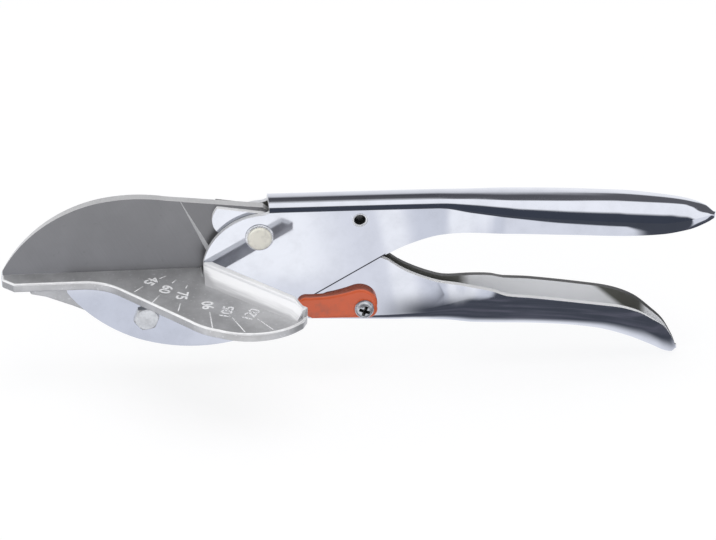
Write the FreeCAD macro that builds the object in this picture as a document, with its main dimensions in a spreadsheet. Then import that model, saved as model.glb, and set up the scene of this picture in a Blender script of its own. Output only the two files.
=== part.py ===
"""Hand-held anvil mitre shears, closed and latched.

Two pressed steel channels cross at a pivot. The upper handle's cheeks run outside, past the pivot
and down to the lower jaw, where they carry a cast mitre table. The lower handle's cheeks lie
between them, rise in front of the pivot and clamp the knife blade.

Frame: X towards the handles, Y away from the latch side, Z up. The origin is the heel of the
cutting edge, on the table's upper face, in the blade's middle plane. Lengths are millimetres.
"""

import FreeCAD, Part
import math
import os
import re
import Sketcher

from FreeCAD import Placement, Rotation, Vector

SIZES = {
    # sheet steel, blade and the play between the crossing cheeks
    "steel": 2.0,
    "blade_thickness": 3.4,
    "side_play": 0.15,
    "bend": 2.8,
    "inner_bend": 2.6,
    "grip_bend": 7.0,
    # main pivot
    "pivot_x": 20.5,
    "pivot_z": 14.5,
    "pivot_radius": 3.5,
    "pivot_head_radius": 4.3,
    "pivot_head_height": 1.3,
    "pivot_ring_radius": 5.05,
    "pivot_ring_height": 0.8,
    "pivot_nut_flats": 10.0,
    "pivot_nut_height": 4.0,
    "bush_wall": 1.4,
    "running_play": 0.05,
    # anvil handle: jaw, front arc and channel
    "jaw_front_x": -47.2,
    "jaw_front_drop": 1.6,
    "jaw_knee_x": -36.0,
    "jaw_knee_depth": 16.6,
    "belly_front_x": -22.5,
    "belly_front_depth": 24.4,
    "belly_x": -4.5,
    "belly_depth": 28.2,
    "belly_rear_x": 11.4,
    "belly_rear_depth": 26.9,
    "belly_heel_radius": 2.6,
    "track_start_x": 16.4,
    "cheek_front_x": 0.8,
    "cheek_front_height": 5.0,
    "cheek_brow_x": 8.4,
    "cheek_brow_height": 17.9,
    "web_front_x": 24.0,
    "web_front_height": 26.2,
    "flare_start_x": 84.0,
    "crotch_x": 64.7,
    "crotch_height": 5.4,
    "upper_back_height": 25.6,
    "upper_rim_height": 12.7,
    "upper_half_width": 9.3,
    "upper_length": 182.0,
    # catch on the lower edge of the cheeks: upright flanks, a radial back
    "catch_radius": 29.3,
    "catch_lug": 1.7,
    "catch_x": 34.8,
    "catch_back_angle": 63.9,
    "catch_notch": 2.0,
    "catch_tooth": 0.97,
    "catch_play": 0.18,
    "catch_clearance": 0.3,
    # blade handle
    "nose_x": 5.9,
    "nose_height": 25.3,
    "nose_bulge_x": 4.1,
    "nose_bulge_height": 19.8,
    "nose_foot_height": 16.0,
    "cheek_top_x": 22.0,
    "cheek_top_height": 22.6,
    "cheek_shoulder_x": 27.0,
    "cheek_shoulder_height": 20.6,
    "lower_web_x": 38.0,
    "spacer_room": 1.6,
    "lower_flare_x": 86.0,
    "lower_back_fall": 2.2,
    "lower_rim_depth": 8.1,
    "lower_rim_knee_x": 74.0,
    "lower_rim_knee_depth": 3.6,
    "lower_half_width": 8.1,
    "lower_length": 168.4,
    "hub_radius": 12.6,
    # blade
    "blade_tip_x": -69.6,
    "blade_tip_height": 1.7,
    "blade_brow_x": -57.5,
    "blade_brow_height": 17.4,
    "blade_shoulder_x": -36.4,
    "blade_shoulder_height": 28.0,
    "blade_crest_x": -25.5,
    "blade_crest_height": 29.3,
    "blade_back_x": -12.0,
    "blade_back_height": 28.2,
    "blade_end_height": 24.1,
    "edge_width": 0.3,
    "edge_rest": 0.05,
    "plunge_x": 8.2,
    "plunge_lean": 0.546,
    "plunge_width": 2.8,
    "rivet_x": 35.5,
    "rivet_z": 6.0,
    "rivet_radius": 3.0,
    # mitre table
    "plate_thickness": 3.3,
    "bar_half_width": 7.2,
    "table_tip_x": -69.9,
    "table_tip_half_width": 3.3,
    "table_tip_taper": 4.0,
    "wing_start_x": -41.0,
    "wing_turn_x": -29.7,
    "wing_turn_reach": 12.5,
    "wing_side_x": -6.5,
    "wing_side_reach": 37.6,
    "wing_round_x": 3.2,
    "wing_round_reach": 45.1,
    "wing_reach": 48.6,
    "fence_offset": 5.4,
    "fence_end_x": 33.2,
    "fence_thickness": 2.4,
    "fence_height": 5.6,
    "fence_chamfer_run": 2.5,
    "fence_chamfer_fall": 2.3,
    "web_front_run": 8.5,
    "web_front_depth": 6.2,
    "web_rear_x": -2.0,
    "web_boss_radius": 6.5,
    "table_bolt_x": -19.5,
    "table_bolt_z": -15.1,
    "table_bolt_radius": 2.5,
    "table_bolt_flats": 8.0,
    "table_bolt_head": 3.3,
    "table_nut_height": 4.0,
    "bolt_stickout": 1.2,
    "head_face_share": 0.94,
    "head_cone_slope": 1.73,
    # hollow pin and handle spring
    "cross_pin_x": 55.9,
    "cross_pin_z": 19.8,
    "cross_pin_radius": 2.7,
    "cross_pin_bore": 1.95,
    "post_x": 46.5,
    "post_z": 0.5,
    "post_radius": 3.2,
    "wire_radius": 0.45,
    "coil_radius": 3.9,
    "coil_turns": 2.0,
    "coil_bends": 13,
    "coil_half_width": 1.15,
    "spring_touch": 0.05,
    "leg_overrun": 3.0,
    # latch
    "latch_x": 57.4,
    "latch_rise": 0.6,
    "latch_screw_radius": 2.0,
    "latch_bush_wall": 0.8,
    "latch_head_radius": 3.35,
    "latch_head_height": 2.2,
    "latch_washer_radius": 4.4,
    "latch_washer_height": 0.5,
    "latch_spacer_radius": 3.5,
    "latch_nut_flats": 7.0,
    "latch_nut_height": 3.2,
    "latch_reach": 23.4,
    "latch_lap": 2.7,
    "latch_foot": 4.2,
    "latch_heel_radius": 4.6,
    "latch_crown_height": 7.4,
}

INNER_FACE = "(blade_thickness / 2 + steel)"
SLOT_FACE = "(blade_thickness / 2 + steel + side_play)"
OUTER_FACE = "(blade_thickness / 2 + 2 * steel + side_play)"
LUG_RADIUS = "(catch_radius + catch_lug)"
LATCH_Z = "(pivot_z - catch_radius + latch_rise)"
LOWER_WEB = f"(latch_spacer_radius + steel + spacer_room - {LATCH_Z})"
LOWER_BACK = f"({LOWER_WEB} + lower_back_fall)"
FAR = "100"
ALONG_Y = Rotation(Vector(1, 0, 0), -90)

doc = FreeCAD.newDocument("MitreShears")


def make_sheet():
    """The driving dimensions, one row each: name and number."""
    table = doc.addObject("Spreadsheet::Sheet", "Sizes")
    for row, (alias, number) in enumerate(SIZES.items(), start=1):
        table.set(f"A{row}", alias)
        table.set(f"B{row}", str(number))
        table.setAlias(f"B{row}", alias)
    doc.recompute()
    return table


make_sheet()
reckoner = doc.addObject("App::FeaturePython", "Reckoner")
reckoner.addProperty("App::PropertyFloat", "Result")


def formula(text):
    """A formula of plain size names, spelled out for the document's expression engine."""
    return re.sub(r"[a-z_]+", lambda word: f"Sizes.{word[0]}" if word[0] in SIZES else word[0], str(text))


def number(text):
    """What a formula of sizes comes to now."""
    reckoner.setExpression("Result", formula(text))
    reckoner.recompute()
    return reckoner.Result


def bind(item, **formulas):
    """Tie properties of an object to formulas of sizes."""
    for name, text in formulas.items():
        item.setExpression(name.replace("__", "."), formula(text))


# ---------------------------------------------------------------- sketches and features


def new_body(name):
    body = doc.addObject("PartDesign::Body", name)
    body.Label = name
    return body


def new_sketch(body, name, role, offset="0"):
    """A sketch on one of the body's own origin planes, moved along the plane's normal."""
    sketch = body.newObject("Sketcher::SketchObject", f"{body.Label}_{name}")
    plane = next(item for item in body.Origin.OriginFeatures if item.Role == role)
    sketch.AttachmentSupport = [(plane, "")]
    sketch.MapMode = "FlatFace"
    sketch.setExpression("AttachmentOffset.Base.z", formula(offset))
    return sketch


def pin_point(sketch, geometry, end, place):
    """Hold one point of the sketch at two formulas."""
    for kind, text in zip(("DistanceX", "DistanceY"), place):
        rule = sketch.addConstraint(Sketcher.Constraint(kind, -1, 1, geometry, end, number(text)))
        sketch.setExpression(f"Constraints[{rule}]", formula(text))


def outline(sketch, start, *steps):
    """Draw a closed outline: a step of one place is a line, one of two places an arc through the first."""
    places = [start] + [step[-2:] for step in steps[:-1]] + [start]
    points = [Vector(number(a), number(b), 0) for a, b in places]
    rows = []
    for index, step in enumerate(steps):
        first, last = points[index], points[index + 1]
        if len(step) == 2:
            row = sketch.addGeometry(Part.LineSegment(first, last), False)
            rows.append((row, 1, 2))
            continue
        via = Vector(number(step[0]), number(step[1]), 0)
        leftward = (via - first).cross(last - via).z > 0
        drawn = Part.Arc(first, via, last) if leftward else Part.Arc(last, via, first)
        row = sketch.addGeometry(drawn, False)
        rows.append((row, 1, 2) if leftward else (row, 2, 1))
        marker = sketch.addGeometry(Part.Point(via), True)
        pin_point(sketch, marker, 1, step[:2])
        sketch.addConstraint(Sketcher.Constraint("PointOnObject", marker, 1, row))
    for index, (row, head, tail) in enumerate(rows):
        pin_point(sketch, row, head, places[index])
        following, next_head, _ = rows[(index + 1) % len(rows)]
        sketch.addConstraint(Sketcher.Constraint("Coincident", row, tail, following, next_head))


def circle(sketch, centre, radius):
    """A full circle at two formulas."""
    place = Vector(number(centre[0]), number(centre[1]), 0)
    row = sketch.addGeometry(Part.Circle(place, Vector(0, 0, 1), number(radius)), False)
    pin_point(sketch, row, 3, centre)
    rule = sketch.addConstraint(Sketcher.Constraint("Radius", row, number(radius)))
    sketch.setExpression(f"Constraints[{rule}]", formula(radius))


def slab(body, sketch, thickness, kind="Pad"):
    """Pad or pocket a sketch equally to both sides of its plane."""
    feature = body.newObject(f"PartDesign::{kind}", f"{sketch.Name}_{kind.lower()}")
    feature.Profile = sketch
    feature.SideType = "Symmetric"
    bind(feature, Length=thickness)
    sketch.Visibility = False
    return feature


def side_slab(body, name, thickness, *path, middle="0", kind="Pad"):
    """A slab with a side outline in X and Z; middle is the Y of its mid-plane."""
    sketch = new_sketch(body, name, "XZ_Plane", f"-({middle})")
    outline(sketch, *path)
    return slab(body, sketch, thickness, kind)


def side_bores(body, name, *bores):
    """Round holes right across the body, along Y, each at (x, z, radius)."""
    sketch = new_sketch(body, name, "XZ_Plane")
    for x, z, radius in bores:
        circle(sketch, (x, z), radius)
    slab(body, sketch, FAR, "Pocket")


def channel_section(body, name, x, half, crown, rim, bend):
    """Cross-section of a channel at x: flat sides from the rim, bent over into the crown."""
    side = 1 if number(f"({crown}) - ({rim})") > 0 else -1
    turn = f"({crown}) - {side} * ({bend})"
    skew = f"({bend}) * (1 - sqrt(0.5))"
    sketch = new_sketch(body, name, "YZ_Plane", x)
    outline(
        sketch,
        (f"-({half})", rim),
        (f"-({half})", turn),
        (f"-({half}) + {skew}", f"({crown}) - {side} * {skew}", f"-({half}) + ({bend})", crown),
        (f"({half}) - ({bend})", crown),
        (f"({half}) - {skew}", f"({crown}) - {side} * {skew}", half, turn),
        (half, rim),
        (f"-({half})", rim),
    )
    return sketch


def channel_loft(body, name, kind, stations):
    """Straight-sided loft through channel sections, each (x, half width, crown, rim, bend)."""
    sections = [channel_section(body, f"{name}_{i}", *row) for i, row in enumerate(stations)]
    feature = body.newObject(f"PartDesign::{kind}", f"{body.Label}_{name}")
    feature.Profile = sections[0]
    feature.Sections = sections[1:]
    feature.Ruled = True
    for sketch in sections:
        sketch.Visibility = False
    return feature


# ---------------------------------------------------------------- round parts and fasteners


def label(item, name):
    item.Label = name
    return item


def rod(name, x, z, radius, near, far):
    """A cylinder along Y from near to far."""
    item = label(doc.addObject("Part::Cylinder", name), name)
    item.Placement = Placement(Vector(0, 0, 0), ALONG_Y)
    bind(item, Radius=radius, Height=f"({far}) - ({near})")
    bind(item, Placement__Base__x=x, Placement__Base__y=near, Placement__Base__z=z)
    return item


def hexagon(name, x, z, flats, near, far):
    """A hexagonal prism along Y, one flat down."""
    item = label(doc.addObject("Part::Prism", name), name)
    item.Polygon = 6
    item.Placement = Placement(Vector(0, 0, 0), ALONG_Y)
    bind(item, Circumradius=f"({flats}) / sqrt(3)", Height=f"({far}) - ({near})")
    bind(item, Placement__Base__x=x, Placement__Base__y=near, Placement__Base__z=z)
    return item


def hex_block(name, x, z, flats, seat, outer, side):
    """A hexagon on its seat, its corners eased by a flat cone at the outer face; side is -1 near, 1 far."""
    near, far = (seat, outer) if side > 0 else (outer, seat)
    prism = hexagon(f"{name}_prism", x, z, flats, near, far)
    cone = label(doc.addObject("Part::Cone", f"{name}_cone"), f"{name}_cone")
    cone.Placement = Placement(Vector(0, 0, 0), ALONG_Y)
    narrow = f"({flats}) * head_face_share / 2"
    wide = f"{narrow} + (({far}) - ({near})) * head_cone_slope"
    first, last = (wide, narrow) if side > 0 else (narrow, wide)
    bind(cone, Radius1=first, Radius2=last, Height=f"({far}) - ({near})")
    bind(cone, Placement__Base__x=x, Placement__Base__y=near, Placement__Base__z=z)
    item = label(doc.addObject("Part::MultiCommon", name), name)
    item.Shapes = [prism, cone]
    return item


def fused(name, *items):
    item = label(doc.addObject("Part::MultiFuse", name), name)
    item.Shapes = list(items)
    item.Refine = True
    return item


def cut(name, base, tool):
    item = label(doc.addObject("Part::Cut", name), name)
    item.Base = base
    item.Tool = tool
    return item


def sleeve(name, x, z, radius, bore, near, far):
    """A tube, washer or bush along Y."""
    outside = rod(f"{name}_outside", x, z, radius, near, far)
    return cut(name, outside, rod(f"{name}_bore", x, z, bore, near, far))


def polar(radius, angle):
    """A place about the pivot; the angle is in degrees below the X axis."""
    return f"pivot_x + ({radius}) * cos({angle})", f"pivot_z - ({radius}) * sin({angle})"


# ---------------------------------------------------------------- anvil handle


def under_pivot(radius, x):
    """Height of the place at x that lies at a radius about the pivot, below it."""
    return f"pivot_z - sqrt(({radius}) ^ 2 - (({x}) - pivot_x) ^ 2)"


def catch_steps():
    """The cheeks' lower edge from the belly to the crotch: a track about the pivot with the catch's lug."""
    notch_top = under_pivot("catch_radius", "catch_x")
    notch_end = "catch_x + catch_notch"
    return (
        ("belly_rear_x + 0.8 * belly_heel_radius", "0.3 * belly_heel_radius - belly_rear_depth",
         "belly_rear_x + 1.1 * belly_heel_radius", "belly_heel_radius - belly_rear_depth"),
        ("track_start_x", under_pivot("catch_radius", "track_start_x")),
        (*polar("catch_radius", "(catch_back_angle + 98) / 2"), *polar("catch_radius", "catch_back_angle")),
        polar(LUG_RADIUS, "catch_back_angle"),
        ("catch_x", under_pivot(LUG_RADIUS, "catch_x")),
        ("catch_x", notch_top),
        (notch_end, notch_top),
        (notch_end, f"{notch_top} - 0.4"),
    )


def make_anvil_handle():
    """Upper handle: cheeks, catch, channel back and flared grip, pressed from one sheet."""
    body = new_body("anvil_handle")
    back = "(web_front_height - bend)"
    side_slab(
        body, "cheeks", f"2 * {OUTER_FACE}",
        ("jaw_front_x", "-plate_thickness"),
        ("jaw_front_x", "-plate_thickness - jaw_front_drop"),
        ("jaw_knee_x", "-jaw_knee_depth", "belly_front_x", "-belly_front_depth"),
        ("belly_x", "-belly_depth", "belly_rear_x", "-belly_rear_depth"),
        *catch_steps(),
        ("crotch_x", "crotch_height"),
        ("(crotch_x + flare_start_x) / 2 - 1.5", "(crotch_height + upper_rim_height) / 2 + 1.4",
         "flare_start_x", "upper_rim_height"),
        ("flare_start_x", back),
        ("web_front_x", back),
        ("cheek_brow_x", "cheek_brow_height", "cheek_front_x", "cheek_front_height"),
        ("cheek_front_x", "-plate_thickness"),
        ("jaw_front_x", "-plate_thickness"),
    )
    neck = ("flare_start_x", OUTER_FACE, "upper_back_height", "upper_rim_height", "bend")
    channel_loft(body, "spine", "AdditiveLoft", [
        ("web_front_x", OUTER_FACE, "web_front_height", "upper_rim_height", "bend"),
        neck,
    ])
    channel_loft(body, "grip", "AdditiveLoft", [neck] + upper_stations("0"))
    side_slab(
        body, "slot", f"2 * {SLOT_FACE}",
        ("jaw_front_x - 9", "-60"),
        ("flare_start_x", "-60"),
        ("flare_start_x", f"{back} - steel"),
        ("web_front_x", f"{back} - steel"),
        ("web_front_x", "60"),
        ("jaw_front_x - 9", "60"),
        ("jaw_front_x - 9", "-60"),
        kind="Pocket",
    )
    hollow_neck = ("flare_start_x", SLOT_FACE, "upper_back_height - steel", "-30", "bend - steel")
    channel_loft(body, "hollow", "SubtractiveLoft", [
        ("web_front_x", SLOT_FACE, "web_front_height - steel", "-30", "bend - steel"),
        hollow_neck,
    ])
    channel_loft(body, "grip_hollow", "SubtractiveLoft", [hollow_neck] + upper_stations("steel")[:-2])
    side_bores(
        body, "holes",
        ("pivot_x", "pivot_z", "pivot_radius"),
        ("cross_pin_x", "cross_pin_z", "cross_pin_radius"),
        ("table_bolt_x", "table_bolt_z", "table_bolt_radius"),
    )
    return body


def upper_stations(wall):
    """Sections of the upper grip behind the neck, for the outside (wall 0) or the hollow."""
    shape = (  # share of the grip, share of the flare, fall of the back, rise of the rim, share of the bend
        (0.12, 0.33, 0.2, 1.0, 0.63),
        (0.26, 0.83, 1.0, 0.9, 0.80),
        (0.46, 1.00, 1.6, 0.0, 0.86),
        (0.66, 1.00, 2.7, -1.3, 0.86),
        (0.80, 0.77, 4.4, -1.7, 0.79),
        (0.90, 0.19, 6.1, -1.3, 0.62),
        (0.97, -0.65, 8.4, -0.3, 0.37),
        (1.00, -1.26, 10.9, 0.1, 0.09),
    )
    rows = []
    for share, flare, fall, rise, round_share in shape:
        rows.append((
            f"flare_start_x + {share} * (upper_length - flare_start_x)",
            f"{OUTER_FACE} + ({flare}) * (upper_half_width - {OUTER_FACE}) - ({wall})",
            f"upper_back_height - {fall} - ({wall})",
            f"upper_rim_height + ({rise})" if wall == "0" else "-30",
            f"{round_share} * grip_bend - ({wall})",
        ))
    return rows


# ---------------------------------------------------------------- blade handle


def make_blade_handle():
    """Lower handle: inner cheeks that clamp the blade, channel bottom and hooked grip."""
    body = new_body("blade_handle")
    floor = f"(inner_bend - {LOWER_WEB})"
    side_slab(
        body, "cheeks", f"2 * {INNER_FACE}",
        ("nose_x", "nose_foot_height"),
        ("nose_bulge_x", "nose_bulge_height", "nose_x", "nose_height"),
        ("cheek_top_x", "cheek_top_height"),
        ("cheek_shoulder_x", "cheek_shoulder_height"),
        ("crotch_x + 1.5", "crotch_height - 3.4"),
        ("lower_rim_knee_x", "-lower_rim_knee_depth", "lower_flare_x", "-lower_rim_depth"),
        ("lower_flare_x", floor),
        ("lower_web_x", floor),
        ("lower_web_x - 1.5", f"1 - {LOWER_WEB}"),
        ("pivot_x - hub_radius / 2", "pivot_z - hub_radius * sqrt(0.75)"),
        ("pivot_x - hub_radius * 0.9", "pivot_z - hub_radius * 0.43",
         "pivot_x - hub_radius + 1.6", "nose_foot_height - 5"),
        ("nose_x", "nose_foot_height"),
    )
    neck = ("lower_flare_x", INNER_FACE, f"-{LOWER_BACK}", "-lower_rim_depth", "inner_bend")
    channel_loft(body, "spine", "AdditiveLoft", [
        ("lower_web_x", INNER_FACE, f"-{LOWER_WEB}", "-lower_rim_depth", "inner_bend"),
        neck,
    ])
    channel_loft(body, "grip", "AdditiveLoft", [neck] + lower_stations("0"))
    side_slab(
        body, "slot", "blade_thickness",
        ("0", "60"),
        ("lower_flare_x", "60"),
        ("lower_flare_x", f"{floor} + steel"),
        ("lower_web_x", f"{floor} + steel"),
        ("lower_web_x", "-60"),
        ("0", "-60"),
        ("0", "60"),
        kind="Pocket",
    )
    inside = "(inner_bend - steel)"
    hollow_neck = ("lower_flare_x", "blade_thickness / 2", f"steel - {LOWER_BACK}", "10", inside)
    channel_loft(body, "hollow", "SubtractiveLoft", [
        ("lower_web_x", "blade_thickness / 2", f"steel - {LOWER_WEB}", "10", inside),
        hollow_neck,
    ])
    channel_loft(body, "grip_hollow", "SubtractiveLoft", [hollow_neck] + lower_stations("steel")[:-2])
    side_bores(
        body, "holes",
        ("pivot_x", "pivot_z", "pivot_radius + running_play + bush_wall"),
        ("rivet_x", "rivet_z", "rivet_radius"),
        ("post_x", "post_z", "post_radius"),
        ("latch_x", LATCH_Z, "latch_screw_radius"),
    )
    return body


def lower_stations(wall):
    """Sections of the lower grip behind the neck, for the outside (wall 0) or the hollow."""
    shape = (  # share of the grip, share of the flare, drop of the back, drop of the rim, share of the bend
        (0.14, 0.50, 0.0, 1.6, 0.66),
        (0.30, 0.95, 0.0, 4.2, 0.88),
        (0.48, 1.00, 1.6, 6.2, 0.94),
        (0.66, 0.98, 4.3, 8.7, 0.91),
        (0.80, 0.75, 9.0, 11.8, 0.80),
        (0.91, 0.20, 14.5, 17.5, 0.54),
        (0.97, -0.30, 17.2, 23.4, 0.27),
        (1.00, -0.60, 17.7, 28.4, 0.09),
    )
    rows = []
    for share, flare, back_drop, rim_drop, round_share in shape:
        rows.append((
            f"lower_flare_x + {share} * (lower_length - lower_flare_x)",
            f"{INNER_FACE} + ({flare}) * (lower_half_width - {INNER_FACE}) - ({wall})",
            f"({wall}) - {LOWER_BACK} - {back_drop}",
            f"-lower_rim_depth - {rim_drop}" if wall == "0" else "10",
            f"{round_share} * grip_bend - ({wall})",
        ))
    return rows


# ---------------------------------------------------------------- blade


def make_blade():
    """Knife: a plate ground on both faces from the back to the edge, full thickness behind the plunge."""
    blank = new_body("blade_blank")
    side_slab(
        blank, "outline", "blade_thickness",
        ("0", "edge_rest"),
        ("blade_tip_x", "edge_rest"),
        ("blade_tip_x", "blade_tip_height"),
        ("blade_brow_x", "blade_brow_height", "blade_shoulder_x", "blade_shoulder_height"),
        ("blade_crest_x", "blade_crest_height", "blade_back_x", "blade_back_height"),
        ("cheek_top_x", "blade_end_height"),
        ("cheek_shoulder_x", "cheek_shoulder_height"),
        ("rivet_x + 3.4", "rivet_z + 5"),
        ("rivet_x + 5.4", "rivet_z - 0.5", "rivet_x + 1", "rivet_z - 5.2"),
        ("pivot_x", "pivot_z - hub_radius + 1.5"),
        ("pivot_x - hub_radius", "pivot_z - hub_radius + 4"),
        ("0", "edge_rest"),
    )
    side_bores(
        blank, "holes",
        ("pivot_x", "pivot_z", "pivot_radius + running_play + bush_wall"),
        ("rivet_x", "rivet_z", "rivet_radius"),
    )
    grinds = fused("blade_grinds", make_grind("near_grind", -1), make_grind("far_grind", 1))
    return cut("blade", blank, grinds)


def make_grind(name, side):
    """What the grinding takes off one face: a wedge along the edge that ends in the slanted plunge."""
    face = number("blade_thickness / 2")
    edge = number("edge_width / 2")
    crest = number("blade_crest_height")
    foot = number("plunge_x")
    top = Vector(foot - number("plunge_lean") * crest, side * face, crest)
    bottom = Vector(foot, side * face, 0)
    root = Vector(foot - number("plunge_width"), side * edge, 0)
    past_root = root + (root - top) * 0.1
    outside = bottom + (bottom - top) * 0.1 + (bottom - root) * 0.5
    triangle = Part.Face(Part.makePolygon([top, past_root, outside, top]))
    item = doc.addObject("Part::Feature", name)
    item.Shape = triangle.extrude(Vector(2 * number("blade_tip_x"), 0, 0))
    return item


# ---------------------------------------------------------------- mitre table


def make_mitre_table():
    """Cast table: bar under the blade, rounded wing, fence at 45 degrees and a web between the cheeks."""
    body = new_body("mitre_table")
    side = OUTER_FACE
    back = "(fence_thickness * sqrt(2) - fence_offset)"
    sketch = new_sketch(body, "plate", "XY_Plane", "-plate_thickness / 2")
    outline(
        sketch,
        ("cheek_front_x", "bar_half_width"),
        ("table_tip_x + table_tip_taper", "bar_half_width"),
        ("table_tip_x", "table_tip_half_width"),
        ("table_tip_x", "-table_tip_half_width"),
        ("table_tip_x + table_tip_taper", "-bar_half_width"),
        ("wing_start_x", "-bar_half_width"),
        ("(wing_start_x + wing_turn_x) / 2 + 0.8", "-(bar_half_width + wing_turn_reach) / 2 + 0.9",
         "wing_turn_x", "-wing_turn_reach"),
        ("wing_side_x", "-wing_side_reach"),
        ("(wing_side_x + wing_round_x) / 2 - 0.4", "-(wing_side_reach + wing_round_reach) / 2 - 0.7",
         "wing_round_x", "-wing_round_reach"),
        ("wing_round_x + 12.5", "-wing_reach", "fence_end_x", f"-(fence_end_x + fence_offset + 2.2)"),
        (f"fence_end_x + fence_thickness / sqrt(2)", f"-(fence_end_x + fence_thickness / sqrt(2) - {back})"),
        (f"{side} + {back}", f"-{side}"),
        ("cheek_front_x", f"-{side}"),
        ("cheek_front_x", "bar_half_width"),
    )
    slab(body, sketch, "plate_thickness")
    side_slab(
        body, "web", f"2 * {SLOT_FACE}",
        ("table_tip_x + web_front_run", "-plate_thickness / 2"),
        ("table_tip_x + web_front_run + 1.5", "-web_front_depth"),
        ("jaw_front_x - 7.5", "-web_front_depth - 1.2"),
        ("jaw_front_x + 2", "-web_front_depth - 5.2"),
        ("table_bolt_x - web_boss_radius", "table_bolt_z - web_boss_radius + 1"),
        ("table_bolt_x", "table_bolt_z - web_boss_radius - 0.6",
         "table_bolt_x + web_boss_radius", "table_bolt_z - web_boss_radius + 2.5"),
        ("web_rear_x - 1", "-plate_thickness - 5"),
        ("web_rear_x", "-plate_thickness / 2"),
        ("table_tip_x + web_front_run", "-plate_thickness / 2"),
    )
    sketch = new_sketch(body, "fence", "XY_Plane", "(fence_height - plate_thickness) / 2")
    outline(
        sketch,
        ("cheek_front_x", f"-{side}"),
        ("cheek_front_x", f"-(cheek_front_x + fence_offset + 0.5)"),
        ("fence_end_x", "-(fence_end_x + fence_offset)"),
        ("fence_end_x + fence_thickness / sqrt(2)", f"-(fence_end_x + fence_thickness / sqrt(2) - {back})"),
        (f"{side} + {back}", f"-{side}"),
        ("cheek_front_x", f"-{side}"),
    )
    slab(body, sketch, "fence_height + plate_thickness")
    side_slab(
        body, "fence_corner", FAR,
        ("fence_end_x - fence_chamfer_run", "fence_height"),
        ("fence_end_x", "fence_height - fence_chamfer_fall"),
        ("fence_end_x + 9", "fence_height - fence_chamfer_fall"),
        ("fence_end_x + 9", "fence_height + 5"),
        ("fence_end_x - fence_chamfer_run", "fence_height + 5"),
        ("fence_end_x - fence_chamfer_run", "fence_height"),
        kind="Pocket",
    )
    side_bores(body, "hole", ("table_bolt_x", "table_bolt_z", "table_bolt_radius"))
    return body


# ---------------------------------------------------------------- fasteners and pins


def make_table_bolt():
    x, z, radius = "table_bolt_x", "table_bolt_z", "table_bolt_radius"
    end = f"{OUTER_FACE} + table_nut_height + bolt_stickout"
    head = hex_block("table_bolt_head_block", x, z, "table_bolt_flats", f"-{OUTER_FACE}",
                     f"-{OUTER_FACE} - table_bolt_head", -1)
    return fused("table_bolt", head, rod("table_bolt_shank", x, z, radius, f"-{OUTER_FACE} - 1", end))


def make_nut(name, x, z, flats, radius, near, height):
    block = hex_block(f"{name}_block", x, z, flats, near, f"{near} + {height}", 1)
    return cut(name, block, rod(f"{name}_thread", x, z, radius, near, f"{near} + {height}"))


def make_pivot():
    """Main pivot: bolt, its two rings and nut on the anvil handle, and the bush that turns on it."""
    x, z, radius = "pivot_x", "pivot_z", "pivot_radius"
    ring = "pivot_ring_height"
    seat = f"{OUTER_FACE} + {ring}"
    end = f"{seat} + pivot_nut_height + bolt_stickout"
    head = rod("pivot_head_block", x, z, "pivot_head_radius", f"-({seat}) - pivot_head_height", f"-({seat})")
    bolt = fused("pivot_bolt", head, rod("pivot_shank", x, z, radius, f"-({seat}) - 1", end))
    near_ring = sleeve("pivot_near_washer", x, z, "pivot_ring_radius", radius, f"-({seat})", f"-{OUTER_FACE}")
    far_ring = sleeve("pivot_far_washer", x, z, "pivot_ring_radius + 1", radius, OUTER_FACE, seat)
    nut = make_nut("pivot_nut", x, z, "pivot_nut_flats", radius, seat, "pivot_nut_height")
    bore = f"{radius} + running_play"
    bush = sleeve("pivot_bush", x, z, f"{bore} + bush_wall", bore, f"-{INNER_FACE}", INNER_FACE)
    return [bolt, near_ring, far_ring, nut, bush]


def make_cross_pins():
    """The hollow pin across the upper channel, and the rivet and spring post across the lower one."""
    hollow = sleeve("cross_pin", "cross_pin_x", "cross_pin_z", "cross_pin_radius", "cross_pin_bore",
                    f"-{OUTER_FACE}", OUTER_FACE)
    rivet = rod("blade_rivet", "rivet_x", "rivet_z", "rivet_radius", f"-{INNER_FACE}", INNER_FACE)
    post = rod("spring_post", "post_x", "post_z", "post_radius", f"-{INNER_FACE}", INNER_FACE)
    return [hollow, rivet, post]


# ---------------------------------------------------------------- handle spring


def leg_line(centre, target, reach, side):
    """A straight leg from the coil that passes its target at a reach: its end and the angle of its foot."""
    arm = number("coil_radius")
    offset = target - centre
    heading = math.atan2(offset.z, offset.x) - side * math.asin((arm + reach) / offset.Length)
    direction = Vector(math.cos(heading), 0, math.sin(heading))
    angle = heading + side * math.pi / 2
    foot = centre + Vector(math.cos(angle), 0, math.sin(angle)) * arm
    end = foot + direction * ((target - foot).dot(direction) + number("leg_overrun"))
    return end, angle


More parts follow.
